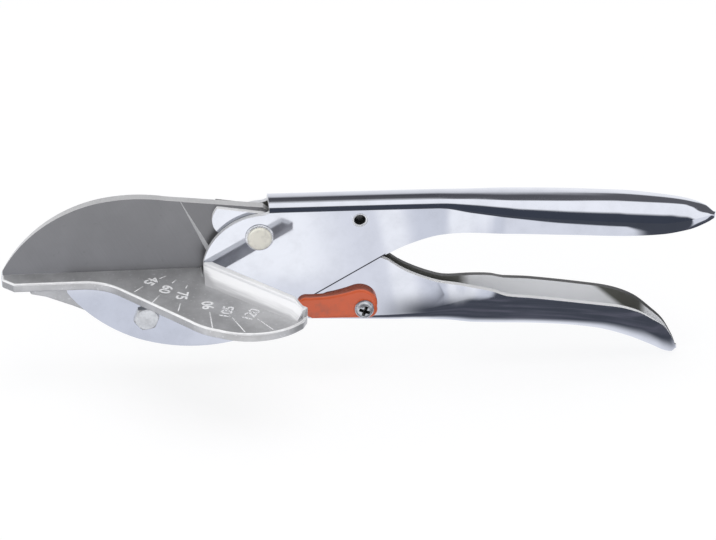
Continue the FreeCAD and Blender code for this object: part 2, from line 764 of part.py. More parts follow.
def make_handle_spring():
    """Wire spring: a close coil round the post, one leg under the cross pin, one on the latch spacer."""
    wire = number("wire_radius")
    touch = number("spring_touch") + wire
    centre = Vector(number("post_x"), 0, number("post_z"))
    pin = Vector(number("cross_pin_x"), 0, number("cross_pin_z"))
    spacer = Vector(number("latch_x"), 0, number(LATCH_Z))
    upper_end, begin = leg_line(centre, pin, number("cross_pin_radius") + touch, 1)
    lower_end, finish = leg_line(centre, spacer, number("latch_spacer_radius") + touch, -1)
    turns = number("coil_turns") + (finish - begin) / (2 * math.pi) % 1
    half = number("coil_half_width")
    near, far = Vector(0, half, 0), Vector(0, -half, 0)
    path = [upper_end + near]
    bends = round(turns * number("coil_bends"))
    for step in range(bends + 1):
        share = step / bends
        angle = begin + 2 * math.pi * turns * share
        spoke = Vector(math.cos(angle), 0, math.sin(angle)) * number("coil_radius")
        path.append(centre + spoke + near * (1 - 2 * share))
    path.append(lower_end + far)
    disc = Part.Wire([Part.makeCircle(wire, path[0], path[1] - path[0])])
    item = doc.addObject("Part::Feature", "handle_spring")
    item.Shape = Part.makePolygon(path).makePipeShell([disc], True, False, 1)
    return item


# ---------------------------------------------------------------- latch


def make_latch_lever():
    """Latch: a body beside the lower edge of the outer cheek and a nose that laps over its face."""
    body = new_body("latch_lever")
    inside = f"({INNER_FACE} + latch_washer_height + running_play)"
    face = f"({OUTER_FACE} + side_play)"
    tooth = "catch_x + catch_play"
    tooth_top = f"{under_pivot('catch_radius', 'catch_x')} - catch_clearance"
    tooth_root = f"{under_pivot(LUG_RADIUS, 'catch_x')} - catch_clearance"
    side_slab(
        body, "block", f"{face} - {inside}",
        (tooth, tooth_root),
        (tooth, tooth_top),
        (f"{tooth} + catch_tooth", tooth_top),
        (f"{tooth} + catch_tooth", f"{tooth_root} + 0.6"),
        ("latch_x - 10", f"{LATCH_Z} + 5"),
        ("latch_x - 3", f"{LATCH_Z} + latch_crown_height - 0.9"),
        ("latch_x + 3.4", f"{LATCH_Z} + latch_crown_height - 2.4", "latch_x + latch_heel_radius", LATCH_Z),
        ("latch_x + 3.2", f"{LATCH_Z} - latch_foot"),
        ("latch_x - latch_reach + 4.6", f"{LATCH_Z} - latch_foot + 0.6"),
        (tooth, tooth_root),
        middle=f"-({face} + {inside}) / 2",
    )
    side_slab(
        body, "lap", "latch_lap",
        ("latch_x - latch_reach", f"{LATCH_Z} + 1.2"),
        ("latch_x - latch_reach + 0.3", f"{LATCH_Z} + 4.2", "latch_x - latch_reach + 3", f"{LATCH_Z} + 5.3"),
        ("latch_x - latch_reach / 2", f"{LATCH_Z} + 5.6", "latch_x - 3.4", f"{LATCH_Z} + latch_crown_height"),
        ("latch_x + 3.4", f"{LATCH_Z} + latch_crown_height - 1.6", "latch_x + latch_heel_radius", LATCH_Z),
        ("latch_x + 3.2", f"{LATCH_Z} - latch_foot"),
        ("latch_x - latch_reach + 4.6", f"{LATCH_Z} - latch_foot + 0.6"),
        ("latch_x - latch_reach", f"{LATCH_Z} + 1.2"),
        middle=f"-{face} - latch_lap / 2",
    )
    side_bores(body, "hole", ("latch_x", LATCH_Z, "latch_screw_radius + running_play + latch_bush_wall"))
    return body


def make_latch_fittings():
    """What the latch turns on: screw, washer, sleeve, spacer between the cheeks, and nut."""
    x, z, radius = "latch_x", LATCH_Z, "latch_screw_radius"
    inside = f"({INNER_FACE} + latch_washer_height)"
    face = f"({OUTER_FACE} + side_play + latch_lap + running_play)"
    end = f"{INNER_FACE} + latch_nut_height + bolt_stickout / 2"
    head = rod("latch_head_block", x, z, "latch_head_radius", f"-{face} - latch_head_height", f"-{face}")
    screw = fused("latch_screw", head, rod("latch_shank", x, z, radius, f"-{face} - 1", end))
    washer = sleeve("latch_washer", x, z, "latch_washer_radius", radius, f"-{inside}", f"-{INNER_FACE}")
    bore = f"{radius} + running_play"
    bush = sleeve("latch_bush", x, z, f"{bore} + latch_bush_wall", bore,
                  f"-{face} + running_play", f"-{inside} - running_play")
    half = "blade_thickness / 2"
    spacer = sleeve("latch_spacer", x, z, "latch_spacer_radius", radius, f"-{half}", half)
    nut = make_nut("latch_nut", x, z, "latch_nut_flats", radius, INNER_FACE, "latch_nut_height")
    return [screw, washer, bush, spacer, nut]


# ---------------------------------------------------------------- checks and export


def check_and_export(nodes):
    doc.recompute()
    for item in doc.Objects:
        if "Invalid" in item.State or "Error" in item.State:
            raise RuntimeError(f"{item.Label} failed: {item.State}")
    os.makedirs("parts", exist_ok=True)
    for item in nodes:
        shape = item.Shape
        if shape.isNull() or not shape.isValid() or not shape.Solids:
            raise RuntimeError(f"{item.Label} has no sound solid")
        print(f"{item.Label:20s} solids {len(shape.Solids)} volume {shape.Volume:10.2f}")
        shape.exportStep(f"parts/{item.Label}.step")


def main():
    nodes = [make_anvil_handle(), make_blade_handle(), make_blade(), make_mitre_table(), make_table_bolt()]
    nodes.append(make_nut("table_nut", "table_bolt_x", "table_bolt_z", "table_bolt_flats",
                          "table_bolt_radius", OUTER_FACE, "table_nut_height"))
    nodes += make_pivot() + make_cross_pins()
    nodes += [make_handle_spring(), make_latch_lever()] + make_latch_fittings()
    check_and_export(nodes)


main()
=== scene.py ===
import logging
import math
from bisect import bisect_right
from dataclasses import dataclass, field
from enum import Enum
from typing import Callable, Iterable, Sequence

import bmesh
import bpy
from bmesh.types import BMEdge, BMesh, BMFace, BMVert
from mathutils import Matrix, Vector


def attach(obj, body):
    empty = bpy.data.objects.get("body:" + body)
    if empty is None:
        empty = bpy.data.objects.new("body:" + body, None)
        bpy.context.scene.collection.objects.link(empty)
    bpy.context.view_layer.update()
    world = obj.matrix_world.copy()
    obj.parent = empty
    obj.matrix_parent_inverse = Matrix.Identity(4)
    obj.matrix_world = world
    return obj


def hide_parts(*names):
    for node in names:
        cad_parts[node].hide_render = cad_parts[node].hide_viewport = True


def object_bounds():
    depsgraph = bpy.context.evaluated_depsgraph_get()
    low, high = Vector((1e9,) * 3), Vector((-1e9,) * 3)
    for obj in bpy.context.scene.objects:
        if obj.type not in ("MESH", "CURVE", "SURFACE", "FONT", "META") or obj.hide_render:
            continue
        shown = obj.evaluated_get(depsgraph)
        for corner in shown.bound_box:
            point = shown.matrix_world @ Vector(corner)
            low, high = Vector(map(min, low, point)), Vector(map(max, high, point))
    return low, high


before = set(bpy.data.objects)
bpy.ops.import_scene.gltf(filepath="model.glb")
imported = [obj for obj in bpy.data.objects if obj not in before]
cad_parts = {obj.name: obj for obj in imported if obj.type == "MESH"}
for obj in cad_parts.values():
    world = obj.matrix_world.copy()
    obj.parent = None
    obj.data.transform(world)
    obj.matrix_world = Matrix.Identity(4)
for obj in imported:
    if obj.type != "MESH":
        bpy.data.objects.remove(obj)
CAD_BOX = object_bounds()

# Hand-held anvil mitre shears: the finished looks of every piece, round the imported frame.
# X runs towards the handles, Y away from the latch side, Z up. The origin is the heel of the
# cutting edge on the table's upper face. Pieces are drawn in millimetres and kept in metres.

log = logging.getLogger("mitre_shears")
Place = tuple[float, float]
Span = tuple[float, float]
Colour = tuple[float, float, float]

MM = 0.001
INNER_FACE = 3.7  # from the middle plane to the face of the lower handle's cheek
OUTER_FACE = 5.85  # and to the face of the upper handle's
STEEL = 2.0  # sheet of both handles
PIVOT = (20.5, 14.5)
LATCH_AXIS = (57.4, -14.2)
TABLE_BOLT = (-19.5, -15.1)
CROSS_PIN = (55.9, 19.8)
PIN_RADIUS = 2.7
SPACER_RADIUS = 3.5
FULL_TURN = 2 * math.pi
SNAP = 0.0005  # vertices closer than this are one
FLAT = math.radians(0.6)  # faces that lean less than this to each other are one flat
NORMAL_WEIGHT = 80  # how far large faces decide the shading at an edge


class Body(Enum):
    """The moving bodies of the tool."""

    ANVIL = "anvil_frame"
    LEVER = "blade_lever"
    LATCH = "latch"


# ---------------------------------------------------------------- shader writing


class Signal:
    """A socket of a node tree that can be used in sums."""

    def __init__(self, shader: "Shader", socket: bpy.types.NodeSocket) -> None:
        """Keep the socket and the shader that it belongs to."""
        self.shader = shader
        self.socket = socket

    def _math(self, operation: str, first: "Signal | float", second: "Signal | float") -> "Signal":
        """One Math node."""
        return self.shader.node("ShaderNodeMath", {"operation": operation}, {0: first, 1: second})

    def __add__(self, other: "Signal | float") -> "Signal":
        """This plus the other."""
        return self._math("ADD", self, other)

    def __radd__(self, other: float) -> "Signal":
        """The other plus this."""
        return self._math("ADD", other, self)

    def __sub__(self, other: "Signal | float") -> "Signal":
        """This less the other."""
        return self._math("SUBTRACT", self, other)

    def __rsub__(self, other: float) -> "Signal":
        """The other less this."""
        return self._math("SUBTRACT", other, self)

    def __mul__(self, other: "Signal | float") -> "Signal":
        """This times the other."""
        return self._math("MULTIPLY", self, other)

    def __rmul__(self, other: float) -> "Signal":
        """The other times this."""
        return self._math("MULTIPLY", other, self)

    def __truediv__(self, other: "Signal | float") -> "Signal":
        """This over the other."""
        return self._math("DIVIDE", self, other)

    def __rtruediv__(self, other: float) -> "Signal":
        """The other over this."""
        return self._math("DIVIDE", other, self)

    def most(self, other: "Signal | float") -> "Signal":
        """The larger of the two."""
        return self._math("MAXIMUM", self, other)

    def span(self, low: float, high: float) -> "Signal":
        """Nought at low, one at high, held between.

        Args:
            low: The value that gives nought.
            high: The value that gives one.

        Returns:
            The stretched signal.
        """
        return self.shader.node("ShaderNodeMapRange", {"interpolation_type": "SMOOTHSTEP"},
                                {"Value": self, "From Min": low, "From Max": high})


class Shader:
    """Writes the nodes of one material or world."""

    def __init__(self, tree: bpy.types.NodeTree) -> None:
        """Start on an emptied tree."""
        tree.nodes.clear()
        self.tree = tree

    def node(self, kind: str, settings: dict | None = None, inputs: dict | None = None,
             output: int | str = 0) -> Signal:
        """Add a node.

        Args:
            kind: The node's type.
            settings: Its properties, set first; "stops" fills a colour ramp.
            inputs: Values or signals by socket name or number.
            output: The socket wanted back.

        Returns:
            The chosen output.
        """
        made = self.tree.nodes.new(kind)
        for name, value in (settings or {}).items():
            if name == "stops":
                self._fill_ramp(made.color_ramp, value)
            else:
                setattr(made, name, value)
        for key, value in (inputs or {}).items():
            if isinstance(value, Signal):
                self.tree.links.new(value.socket, made.inputs[key])
            else:
                made.inputs[key].default_value = value
        return Signal(self, made.outputs[output]) if made.outputs else Signal(self, None)

    @staticmethod
    def _fill_ramp(ramp: bpy.types.ColorRamp, stops: Sequence[tuple[float, tuple]]) -> None:
        """Give a colour ramp its stops.

        Args:
            ramp: The ramp, as a new node has it.
            stops: Place and colour of each stop.
        """
        for index, (position, colour) in enumerate(stops):
            stop = ramp.elements[index] if index < len(ramp.elements) else ramp.elements.new(position)
            stop.position = position
            stop.color = (*colour, 1.0)

    def place(self) -> Signal:
        """The place on the piece, in metres."""
        return self.node("ShaderNodeTexCoord", output="Object")

    def axis(self, name: str, vector: Signal | None = None) -> Signal:
        """One coordinate of the place on the piece, or of another vector."""
        return self.node("ShaderNodeSeparateXYZ", {}, {0: vector or self.place()}, output=name)

    def reach(self, direction: tuple[float, float, float]) -> Signal:
        """How far out along a direction the place is, in metres."""
        return self.node("ShaderNodeVectorMath", {"operation": "DOT_PRODUCT"},
                         {0: self.place(), 1: direction}, output="Value")

    def ray(self, kind: str) -> Signal:
        """One for rays of a kind, nought for the others."""
        return self.node("ShaderNodeLightPath", output=f"Is {kind} Ray")

    def background(self, colour: Colour | Signal, strength: float) -> Signal:
        """Light of the world in one colour."""
        return self.node("ShaderNodeBackground", {}, {"Color": opaque(colour), "Strength": strength})

    def stretched(self, scale: tuple[float, float, float],
                  turn: tuple[float, float, float] = (0, 0, 0)) -> Signal:
        """The place on the piece, turned and then scaled axis by axis.

        Args:
            scale: How many times each axis is stretched.
            turn: Rotation about each axis, in radians.

        Returns:
            The coordinates.
        """
        turned = self.node("ShaderNodeMapping", {}, {"Vector": self.place(), "Rotation": turn})
        return self.node("ShaderNodeVectorMath", {"operation": "MULTIPLY"}, {0: turned, 1: scale})

    def noise(self, scale: float, detail: float = 2.0, rough: float = 0.5,
              vector: Signal | None = None) -> Signal:
        """Soft noise from nought to one.

        Args:
            scale: Spots per metre.
            detail: Octaves.
            rough: How strong the finer octaves are.
            vector: Coordinates other than the plain place.

        Returns:
            The noise.
        """
        inputs = {"Vector": vector or self.place(), "Scale": scale, "Detail": detail, "Roughness": rough}
        return self.node("ShaderNodeTexNoise", {}, inputs)

    def blend(self, share: Signal, first: tuple | Signal, second: tuple | Signal) -> Signal:
        """Mix two colours.

        Args:
            share: Nought gives the first, one the second.
            first: A colour or a colour signal.
            second: A colour or a colour signal.

        Returns:
            The mixed colour.
        """
        return self.node("ShaderNodeMix", {"data_type": "RGBA"},
                         {0: share, 6: opaque(first), 7: opaque(second)}, output=2)

    def bump(self, height: Signal, distance: float, strength: float = 1.0) -> Signal:
        """A normal disturbed by a height.

        Args:
            height: The height, about nought to one.
            distance: What one stands for, in metres.
            strength: Share of the effect.

        Returns:
            The normal.
        """
        inputs = {"Height": height, "Distance": distance, "Strength": strength}
        return self.node("ShaderNodeBump", {}, inputs, output="Normal")


def opaque(colour: tuple | Signal) -> tuple | Signal:
    """A colour with its alpha of one; signals pass as they are."""
    return colour if isinstance(colour, Signal) else (*colour, 1.0)


# ---------------------------------------------------------------- finishes


@dataclass(frozen=True)
class Finish:
    """What all finishes share."""

    name: str
    slot: str
    colour: Colour
    roughness: float

    def sockets(self, shader: Shader) -> dict:
        """The shader's sockets; each finish has its own."""
        raise NotImplementedError

    def toned(self, share: float) -> Colour:
        """The finish's own colour, darker or lighter by a share."""
        return tuple(min(1.0, channel * share) for channel in self.colour)

    def material(self) -> bpy.types.Material:
        """The finish as a material, made once.

        Returns:
            The material.
        """
        known = bpy.data.materials.get(self.name)
        if known:
            return known
        made = bpy.data.materials.new(self.name)
        made.use_nodes = True
        shader = Shader(made.node_tree)
        surface = shader.node("ShaderNodeBsdfPrincipled", {}, self.sockets(shader))
        shader.node("ShaderNodeOutputMaterial", {}, {"Surface": surface})
        return made


@dataclass(frozen=True)
class ChromePlate(Finish):
    """Bright chromium plate on pressed steel: faint waves of the press, hazy patches and a painted shadow
    line along the seam.
    """

    wave: float = 0.00002
    haze: float = 0.05
    dulled: float = 0.93
    seam: tuple[Place, Place] = ((36.8, -11.5), (64.7, 5.4))
    seam_fading: Span = (0.2, 0.5)
    seam_shade: float = 0.55
    seam_shade_fading: float = 0.7
    seam_shade_end: Span = (0.05, 0.15)
    seam_shade_colour: Colour = (0.05, 0.05, 0.06)

    def along_seam(self, shader: Shader) -> Signal:
        """One in the painted shadow line where the outer cheek ends over the inner one.

        Args:
            shader: Where to write.

        Returns:
            The share of painted shade.
        """
        (x0, z0), (x1, z1) = self.seam
        before, after = self.seam_fading
        length = math.hypot(x1 - x0, z1 - z0)
        outward = ((z1 - z0) / length, 0.0, (x0 - x1) / length)
        past = (x0 * outward[0] + z0 * outward[2]) * MM
        reach, along = shader.reach(outward), shader.axis("X")
        within = along.span((x0 - before) * MM, x0 * MM) * (1.0 - along.span(x1 * MM, (x1 + after) * MM))
        edge = reach.span(past - self.seam_shade * MM, past - self.seam_shade * self.seam_shade_fading * MM)
        low, high = (past + distance * MM for distance in self.seam_shade_end)
        return edge * (1.0 - reach.span(low, high)) * within

    def sockets(self, shader: Shader) -> dict:
        """Mirror metal with hazy patches and a slow wave.

        Args:
            shader: The writer of the material.

        Returns:
            Values and signals by socket.
        """
        seam_shade = self.along_seam(shader)
        patches = shader.noise(140.0, 4.0, 0.6)
        specks = shader.noise(1900.0, 2.0, 0.5).span(0.70, 0.78)
        brushed = shader.noise(1.0, 3.0, 0.6, shader.stretched((60.0, 900.0, 900.0)))
        waves = shader.noise(42.0, 1.0, 0.4)
        clean = shader.blend(patches.span(0.35, 0.75), self.colour, self.toned(self.dulled))
        hazy = self.roughness + self.haze * patches.span(0.4, 0.8)
        return {
            # painted shade: a dark line along the seam, where the gap between the cheeks casts its shadow
            "Base Color": shader.blend(seam_shade, clean, self.seam_shade_colour),
            "Metallic": 1.0,
            "Roughness": hazy + 0.10 * specks + 0.02 * brushed + 0.2 * seam_shade,
            "Normal": shader.bump(waves + 0.01 * brushed, self.wave),
        }


@dataclass(frozen=True)
class RolledEdge(Finish):
    """Edge of the sheet with painted light: bright on the near side, painted shade on the far one."""

    far_side_shade: Colour = (0.10, 0.10, 0.10)
    turning: Span = (-0.0005, 0.0005)
    metal: float = 0.15

    def sockets(self, shader: Shader) -> dict:
        """Satin metal with painted light across the handle: light on the near side, painted shade on the far
        one.

        Args:
            shader: The writer of the material.

        Returns:
            Values and signals by socket.
        """
        clouds = shader.noise(300.0, 3.0, 0.55)
        return {
            # painted light and shade: the near side takes the bright colour, the far side the painted shade
            "Base Color": shader.blend(shader.axis("Y").span(*self.turning), self.colour, self.far_side_shade),
            "Metallic": self.metal,
            "Roughness": self.roughness + 0.10 * clouds,
            "Normal": shader.bump(clouds, 0.00002, 0.6),
        }


@dataclass(frozen=True)
class Lining(Finish):
    """Plate on the inside of a handle: hazy, with painted shade along the handle and in one patch, where the
    inside is shaded and mirrors dark.
    """

    painted_shade: Colour = (0.06, 0.06, 0.045)
    stops: tuple[Span, ...] = ((0.076, 0.9), (0.092, 0.9), (0.096, 0.0), (0.170, 0.0))
    patch: Span = (0.1190, 0.1225)
    patch_end: Span = (0.1565, 0.1595)
    patch_lean: float = 1.2
    patch_depth: float = 0.95
    ragged: float = 0.02
    metal: float = 0.02

    def sockets(self, shader: Shader) -> dict:
        """Hazy metal with painted shade along the handle.

        Args:
            shader: The writer of the material.

        Returns:
            Values and signals by socket.
        """
        clouds = shader.noise(90.0, 3.0, 0.55)
        lines = shader.noise(1.0, 3.0, 0.6, shader.stretched((50.0, 700.0, 700.0)))
        along, up = shader.axis("X"), shader.axis("Z")
        reach = self.stops[-1][0]
        tones = [(at / reach, (share,) * 3) for at, share in self.stops]
        at = along / reach + self.ragged * (clouds - 0.5)
        shade = shader.node("ShaderNodeValToRGB", {"stops": tones}, {0: at})
        patch = (along + self.patch_lean * up).span(*self.patch) * (1.0 - along.span(*self.patch_end))
        return {
            # painted shade: the ramp and the patch darken the lining's colour by place
            "Base Color": shader.blend((patch * self.patch_depth).most(shade), self.colour, self.painted_shade),
            "Metallic": self.metal,
            "Roughness": self.roughness + 0.08 * clouds + 0.05 * lines,
            "Normal": shader.bump(lines, 0.000004),
        }


@dataclass(frozen=True)
class GroundSteel(Finish):
    """Blade steel with the fine lines of the grinding wheel."""

    lean: float = 0.5
    metal: float = 0.65
    gleam: float = 1.22
    stained: float = 0.7

    def sockets(self, shader: Shader) -> dict:
        """Satin metal, its lines square to the edge.

        Args:
            shader: The writer of the material.

        Returns:
            Values and signals by socket.
        """
        along = shader.stretched((2600.0, 400.0, 55.0), (0.0, self.lean, 0.0))
        lines = shader.noise(1.0, 4.0, 0.65, along)
        clouds = shader.noise(38.0, 3.0, 0.55)
        stains = shader.noise(420.0, 3.0, 0.6).span(0.62, 0.80)
        share = lines.span(0.3, 0.7) * 0.35 + clouds.span(0.35, 0.7) * 0.65
        ground = shader.blend(share, self.colour, self.toned(self.gleam))
        return {
            "Base Color": shader.blend(stains * 0.35, ground, self.toned(self.stained)),
            "Metallic": self.metal,
            "Roughness": self.roughness + 0.10 * lines.span(0.25, 0.75) + 0.05 * clouds,
            "Normal": shader.bump(lines, 0.000006),
        }


@dataclass(frozen=True)
class FilletLightAndShade(Finish):
    """Hollow at the fence's foot with painted light: as bright as the fence face above, fading to painted
    shade where it runs out into the casting below.
    """

    plain: Colour = (0.46, 0.46, 0.47)
    foot: Place = (0.8, -6.7)
    outward: Place = (-0.7016, -0.7126)
    run_out: Span = (1.2, 4.4)
    fading: float = 5.0
    ragged: float = 2.4
    shortened: float = 2.2
    metal: float = 0.12

    def sockets(self, shader: Shader) -> dict:
        """Satin metal that darkens away from the fence, in streaks along it.

        Args:
            shader: The writer of the material.

        Returns:
            Values and signals by socket.
        """
        start = self.foot[0] * self.outward[0] + self.foot[1] * self.outward[1]
        low, high = ((start + distance) * MM for distance in self.run_out)
        along_fence = shader.stretched((60.0, 1100.0, 60.0), (0.0, 0.0, math.pi / 4))
        streaks = shader.noise(1.0, 3.0, 0.6, along_fence)
        end = 1.0 - shader.axis("X").span(self.foot[0] * MM, (self.foot[0] + self.fading) * MM)
        reach = shader.reach((*self.outward, 0.0)) + (streaks - 0.5) * self.ragged * MM
        fade = (reach + end * end * self.shortened * MM).span(low, high)
        return {
            # painted light: the bright fence colour fades to the darker plain colour away from the fence
            "Base Color": shader.blend(fade, self.colour, self.plain),
            "Metallic": self.metal,
            "Roughness": self.roughness + 0.10 * streaks,
            "Normal": shader.bump(streaks, 0.00001, 0.6),
        }


@dataclass(frozen=True)
class TumbledCasting(Finish):
    """Tumbled light-alloy casting: fine pits, bright rubbed spots and darker clouds."""

    spots: Colour = (0.78, 0.78, 0.80)
    metal: float = 0.5
    clouded: float = 0.72

    def sockets(self, shader: Shader) -> dict:
        """Satin metal with speckle.

        Args:
            shader: The writer of the material.

        Returns:
            Values and signals by socket.
        """
        clouds = shader.noise(70.0, 4.0, 0.6)
        grain = shader.noise(1500.0, 3.0, 0.6)
        speckle = shader.noise(700.0, 2.0, 0.55).span(0.60, 0.72)
        cells = shader.node("ShaderNodeTexVoronoi", {"feature": "F1"},
                            {"Vector": shader.place(), "Scale": 650.0}, output="Distance")
        pits = cells.span(0.0, 0.28)
        cast = shader.blend(clouds.span(0.3, 0.7), self.toned(self.clouded), self.colour)
        return {
            "Base Color": shader.blend(speckle * 0.45, cast, self.spots),
            "Metallic": self.metal,
            "Roughness": self.roughness + 0.12 * grain - 0.06 * speckle,
            "Normal": shader.bump(0.5 * grain + 0.35 * pits + 1.2 * clouds, 0.00004, 0.8),
        }


@dataclass(frozen=True)
class BakedEnamel(Finish):
    """Thick coloured enamel on a small steel part, with rubbed places."""

    rubbed: Colour = (0.36, 0.10, 0.06)
    coat: float = 0.5
    coat_roughness: float = 0.22

    def sockets(self, shader: Shader) -> dict:
        """Glossy paint with a fine orange peel.

        Args:
            shader: The writer of the material.

        Returns:
            Values and signals by socket.
        """
        peel = shader.noise(900.0, 2.0, 0.5)
        clouds = shader.noise(160.0, 4.0, 0.6)
        return {
            "Base Color": shader.blend(clouds.span(0.5, 0.85) * 0.7, self.colour, self.rubbed),
            "Roughness": self.roughness + 0.14 * clouds,
            "Coat Weight": self.coat,
            "Coat Roughness": self.coat_roughness,
            "Normal": shader.bump(peel, 0.00002, 0.6),
        }


@dataclass(frozen=True)
class PlatedSteel(Finish):
    """Zinc-plated or plain machined steel with a cloudy coat."""

    cloudy: float = 0.25
    metal: float = 0.9

    def sockets(self, shader: Shader) -> dict:
        """Metal with clouds and small pits.

        Args:
            shader: The writer of the material.

        Returns:
            Values and signals by socket.
        """
        clouds = shader.noise(380.0, 4.0, 0.6)
        grain = shader.noise(2600.0, 2.0, 0.5)
        return {
            "Base Color": shader.blend(clouds.span(0.35, 0.7), self.toned(1.0 - self.cloudy), self.colour),
            "Metallic": self.metal,
            "Roughness": self.roughness + 0.10 * clouds + 0.05 * grain,
            "Normal": shader.bump(clouds + 0.3 * grain, 0.00003, 0.7),
        }


@dataclass(frozen=True)
class TurnedFace(Finish):
    """Face of a turned part: fine rings about an axis along Y."""

    centre: Place = PIVOT
    pitch: float = 0.25
    metal: float = 0.3
    clouded: float = 0.82

    def sockets(self, shader: Shader) -> dict:
        """Metal with rings round its centre.

        Args:
            shader: The writer of the material.

        Returns:
            Values and signals by socket.
        """
        middle = (self.centre[0] * MM, 0.0, self.centre[1] * MM)
        moved = shader.node("ShaderNodeVectorMath", {"operation": "SUBTRACT"}, {0: shader.place(), 1: middle})
        flat = shader.node("ShaderNodeVectorMath", {"operation": "MULTIPLY"}, {0: moved, 1: (1.0, 0.0, 1.0)})
        radius = shader.node("ShaderNodeVectorMath", {"operation": "LENGTH"}, {0: flat}, output="Value")
        phase = radius * (FULL_TURN / (self.pitch * MM))
        rings = shader.node("ShaderNodeMath", {"operation": "SINE"}, {0: phase})
        clouds = shader.noise(420.0, 4.0, 0.6)
        return {
            "Base Color": shader.blend(clouds.span(0.42, 0.75), self.colour, self.toned(self.clouded)),
            "Metallic": self.metal,
            "Roughness": self.roughness + 0.12 * clouds,
            "Normal": shader.bump(rings * 0.5 + clouds, 0.00001, 0.7),
        }


@dataclass(frozen=True)
class ScaleFill(Finish):
    """Light paint in the engraved scale, partly worn off."""

    worn: Colour = (0.20, 0.20, 0.21)
    wear: float = 0.6
    wear_fading: Span = (-0.06, 0.10)
    bare_metal: float = 0.8

    def sockets(self, shader: Shader) -> dict:
        """Dry paint broken by wear.

        Args:
            shader: The writer of the material.

        Returns:
            Values and signals by socket.
        """
        low, high = (self.wear + shift for shift in self.wear_fading)
        wear = shader.noise(1300.0, 3.0, 0.65).span(low, high)
        return {
            "Base Color": shader.blend(wear, self.colour, self.worn),
            "Metallic": wear * self.bare_metal,
            "Roughness": self.roughness + 0.1 * wear,
        }


CHROME = ChromePlate("chromium_plate", "handle_chrome", (0.64, 0.66, 0.72), 0.045)
# the inner cheek keeps only a thin edge of the painted seam shadow
INNER_CHROME = ChromePlate("chromium_plate_inner", "handle_chrome", (0.64, 0.66, 0.72), 0.045, seam_shade=0.05)
RING_CHROME = PlatedSteel("ring_plate", "plated_steel", (0.86, 0.87, 0.90), 0.20, cloudy=0.1, metal=0.6)
LINING = Lining("handle_lining", "handle_chrome", (0.97, 0.975, 0.99), 0.30)
CUT_EDGE = PlatedSteel("dull_cut_edge", "handle_chrome", (0.84, 0.85, 0.87), 0.30, cloudy=0.15, metal=0.25)
# edge with painted light on the near side and painted shade on the far side
ROLLED_EDGE = RolledEdge("rolled_edge", "handle_chrome", (0.97, 0.97, 0.98), 0.30)
BLADE_STEEL = GroundSteel("ground_blade_steel", "blade_steel", (0.216, 0.216, 0.225), 0.32)
# a lighter copy of the blade steel: painted highlight on the spine, the plunge and the rounded edges
SPINE_HIGHLIGHT = GroundSteel("blade_spine_highlight", "blade_steel", (0.58, 0.58, 0.58), 0.34, metal=0.5)
CAST_METAL = TumbledCasting("tumbled_casting", "cast_table", (0.62, 0.62, 0.63), 0.36)
CAST_RIM = TumbledCasting("rubbed_casting_rim", "cast_table", (0.62, 0.62, 0.63), 0.30)
# near-white finish for the table's top rounding: a painted highlight
CAST_EDGE_HIGHLIGHT = PlatedSteel("casting_edge_highlight", "cast_table", (0.97, 0.97, 0.97), 0.26, cloudy=0.12, metal=0.3)
# milled fence face with a painted highlight; the same finish fades to painted shade down the hollow at its
# foot
MILLED_FACE_HIGHLIGHT = FilletLightAndShade("milled_fence_face_highlight", "cast_table", (0.95, 0.95, 0.96), 0.30)
LATCH_RED = BakedEnamel("latch_enamel", "latch_red", (0.72, 0.115, 0.030), 0.32)
# a darker copy of the enamel for the latch's upward faces: painted shade
LATCH_TOP_SHADE = BakedEnamel("latch_enamel_top_shade", "latch_red", (0.34, 0.085, 0.045), 0.42,
                        rubbed=(0.16, 0.08, 0.06))
ZINC = PlatedSteel("zinc_plate", "plated_steel", (0.80, 0.81, 0.82), 0.22, metal=0.7)
BARE_STEEL = PlatedSteel("machined_steel", "bare_steel", (0.38, 0.38, 0.39), 0.30)
PIVOT_FACE = TurnedFace("turned_pivot_face", "plated_steel", (0.93, 0.90, 0.80), 0.42)
SCREW_STEEL = PlatedSteel("screw_steel", "plated_steel", (0.66, 0.68, 0.71), 0.24, metal=0.8)
# near-black steel for the insides of the pin's bore and the screw's recess: painted shade
SHADED_RECESS = PlatedSteel("shaded_recess_steel", "bare_steel", (0.12, 0.12, 0.12), 0.34)
BRONZE = PlatedSteel("sintered_bronze", "bronze", (0.45, 0.28, 0.13), 0.42)
WIRE = PlatedSteel("oiled_spring_wire", "spring_wire", (0.20, 0.20, 0.21), 0.30)
SCALE_WHITE = ScaleFill("scale_paint", "cast_table", (0.96, 0.96, 0.97), 0.55, wear=0.62)
SCALE_FAINT = ScaleFill("scale_paint_worn", "cast_table", (0.90, 0.90, 0.92), 0.55, wear=0.56)


# ---------------------------------------------------------------- drawing and shaping


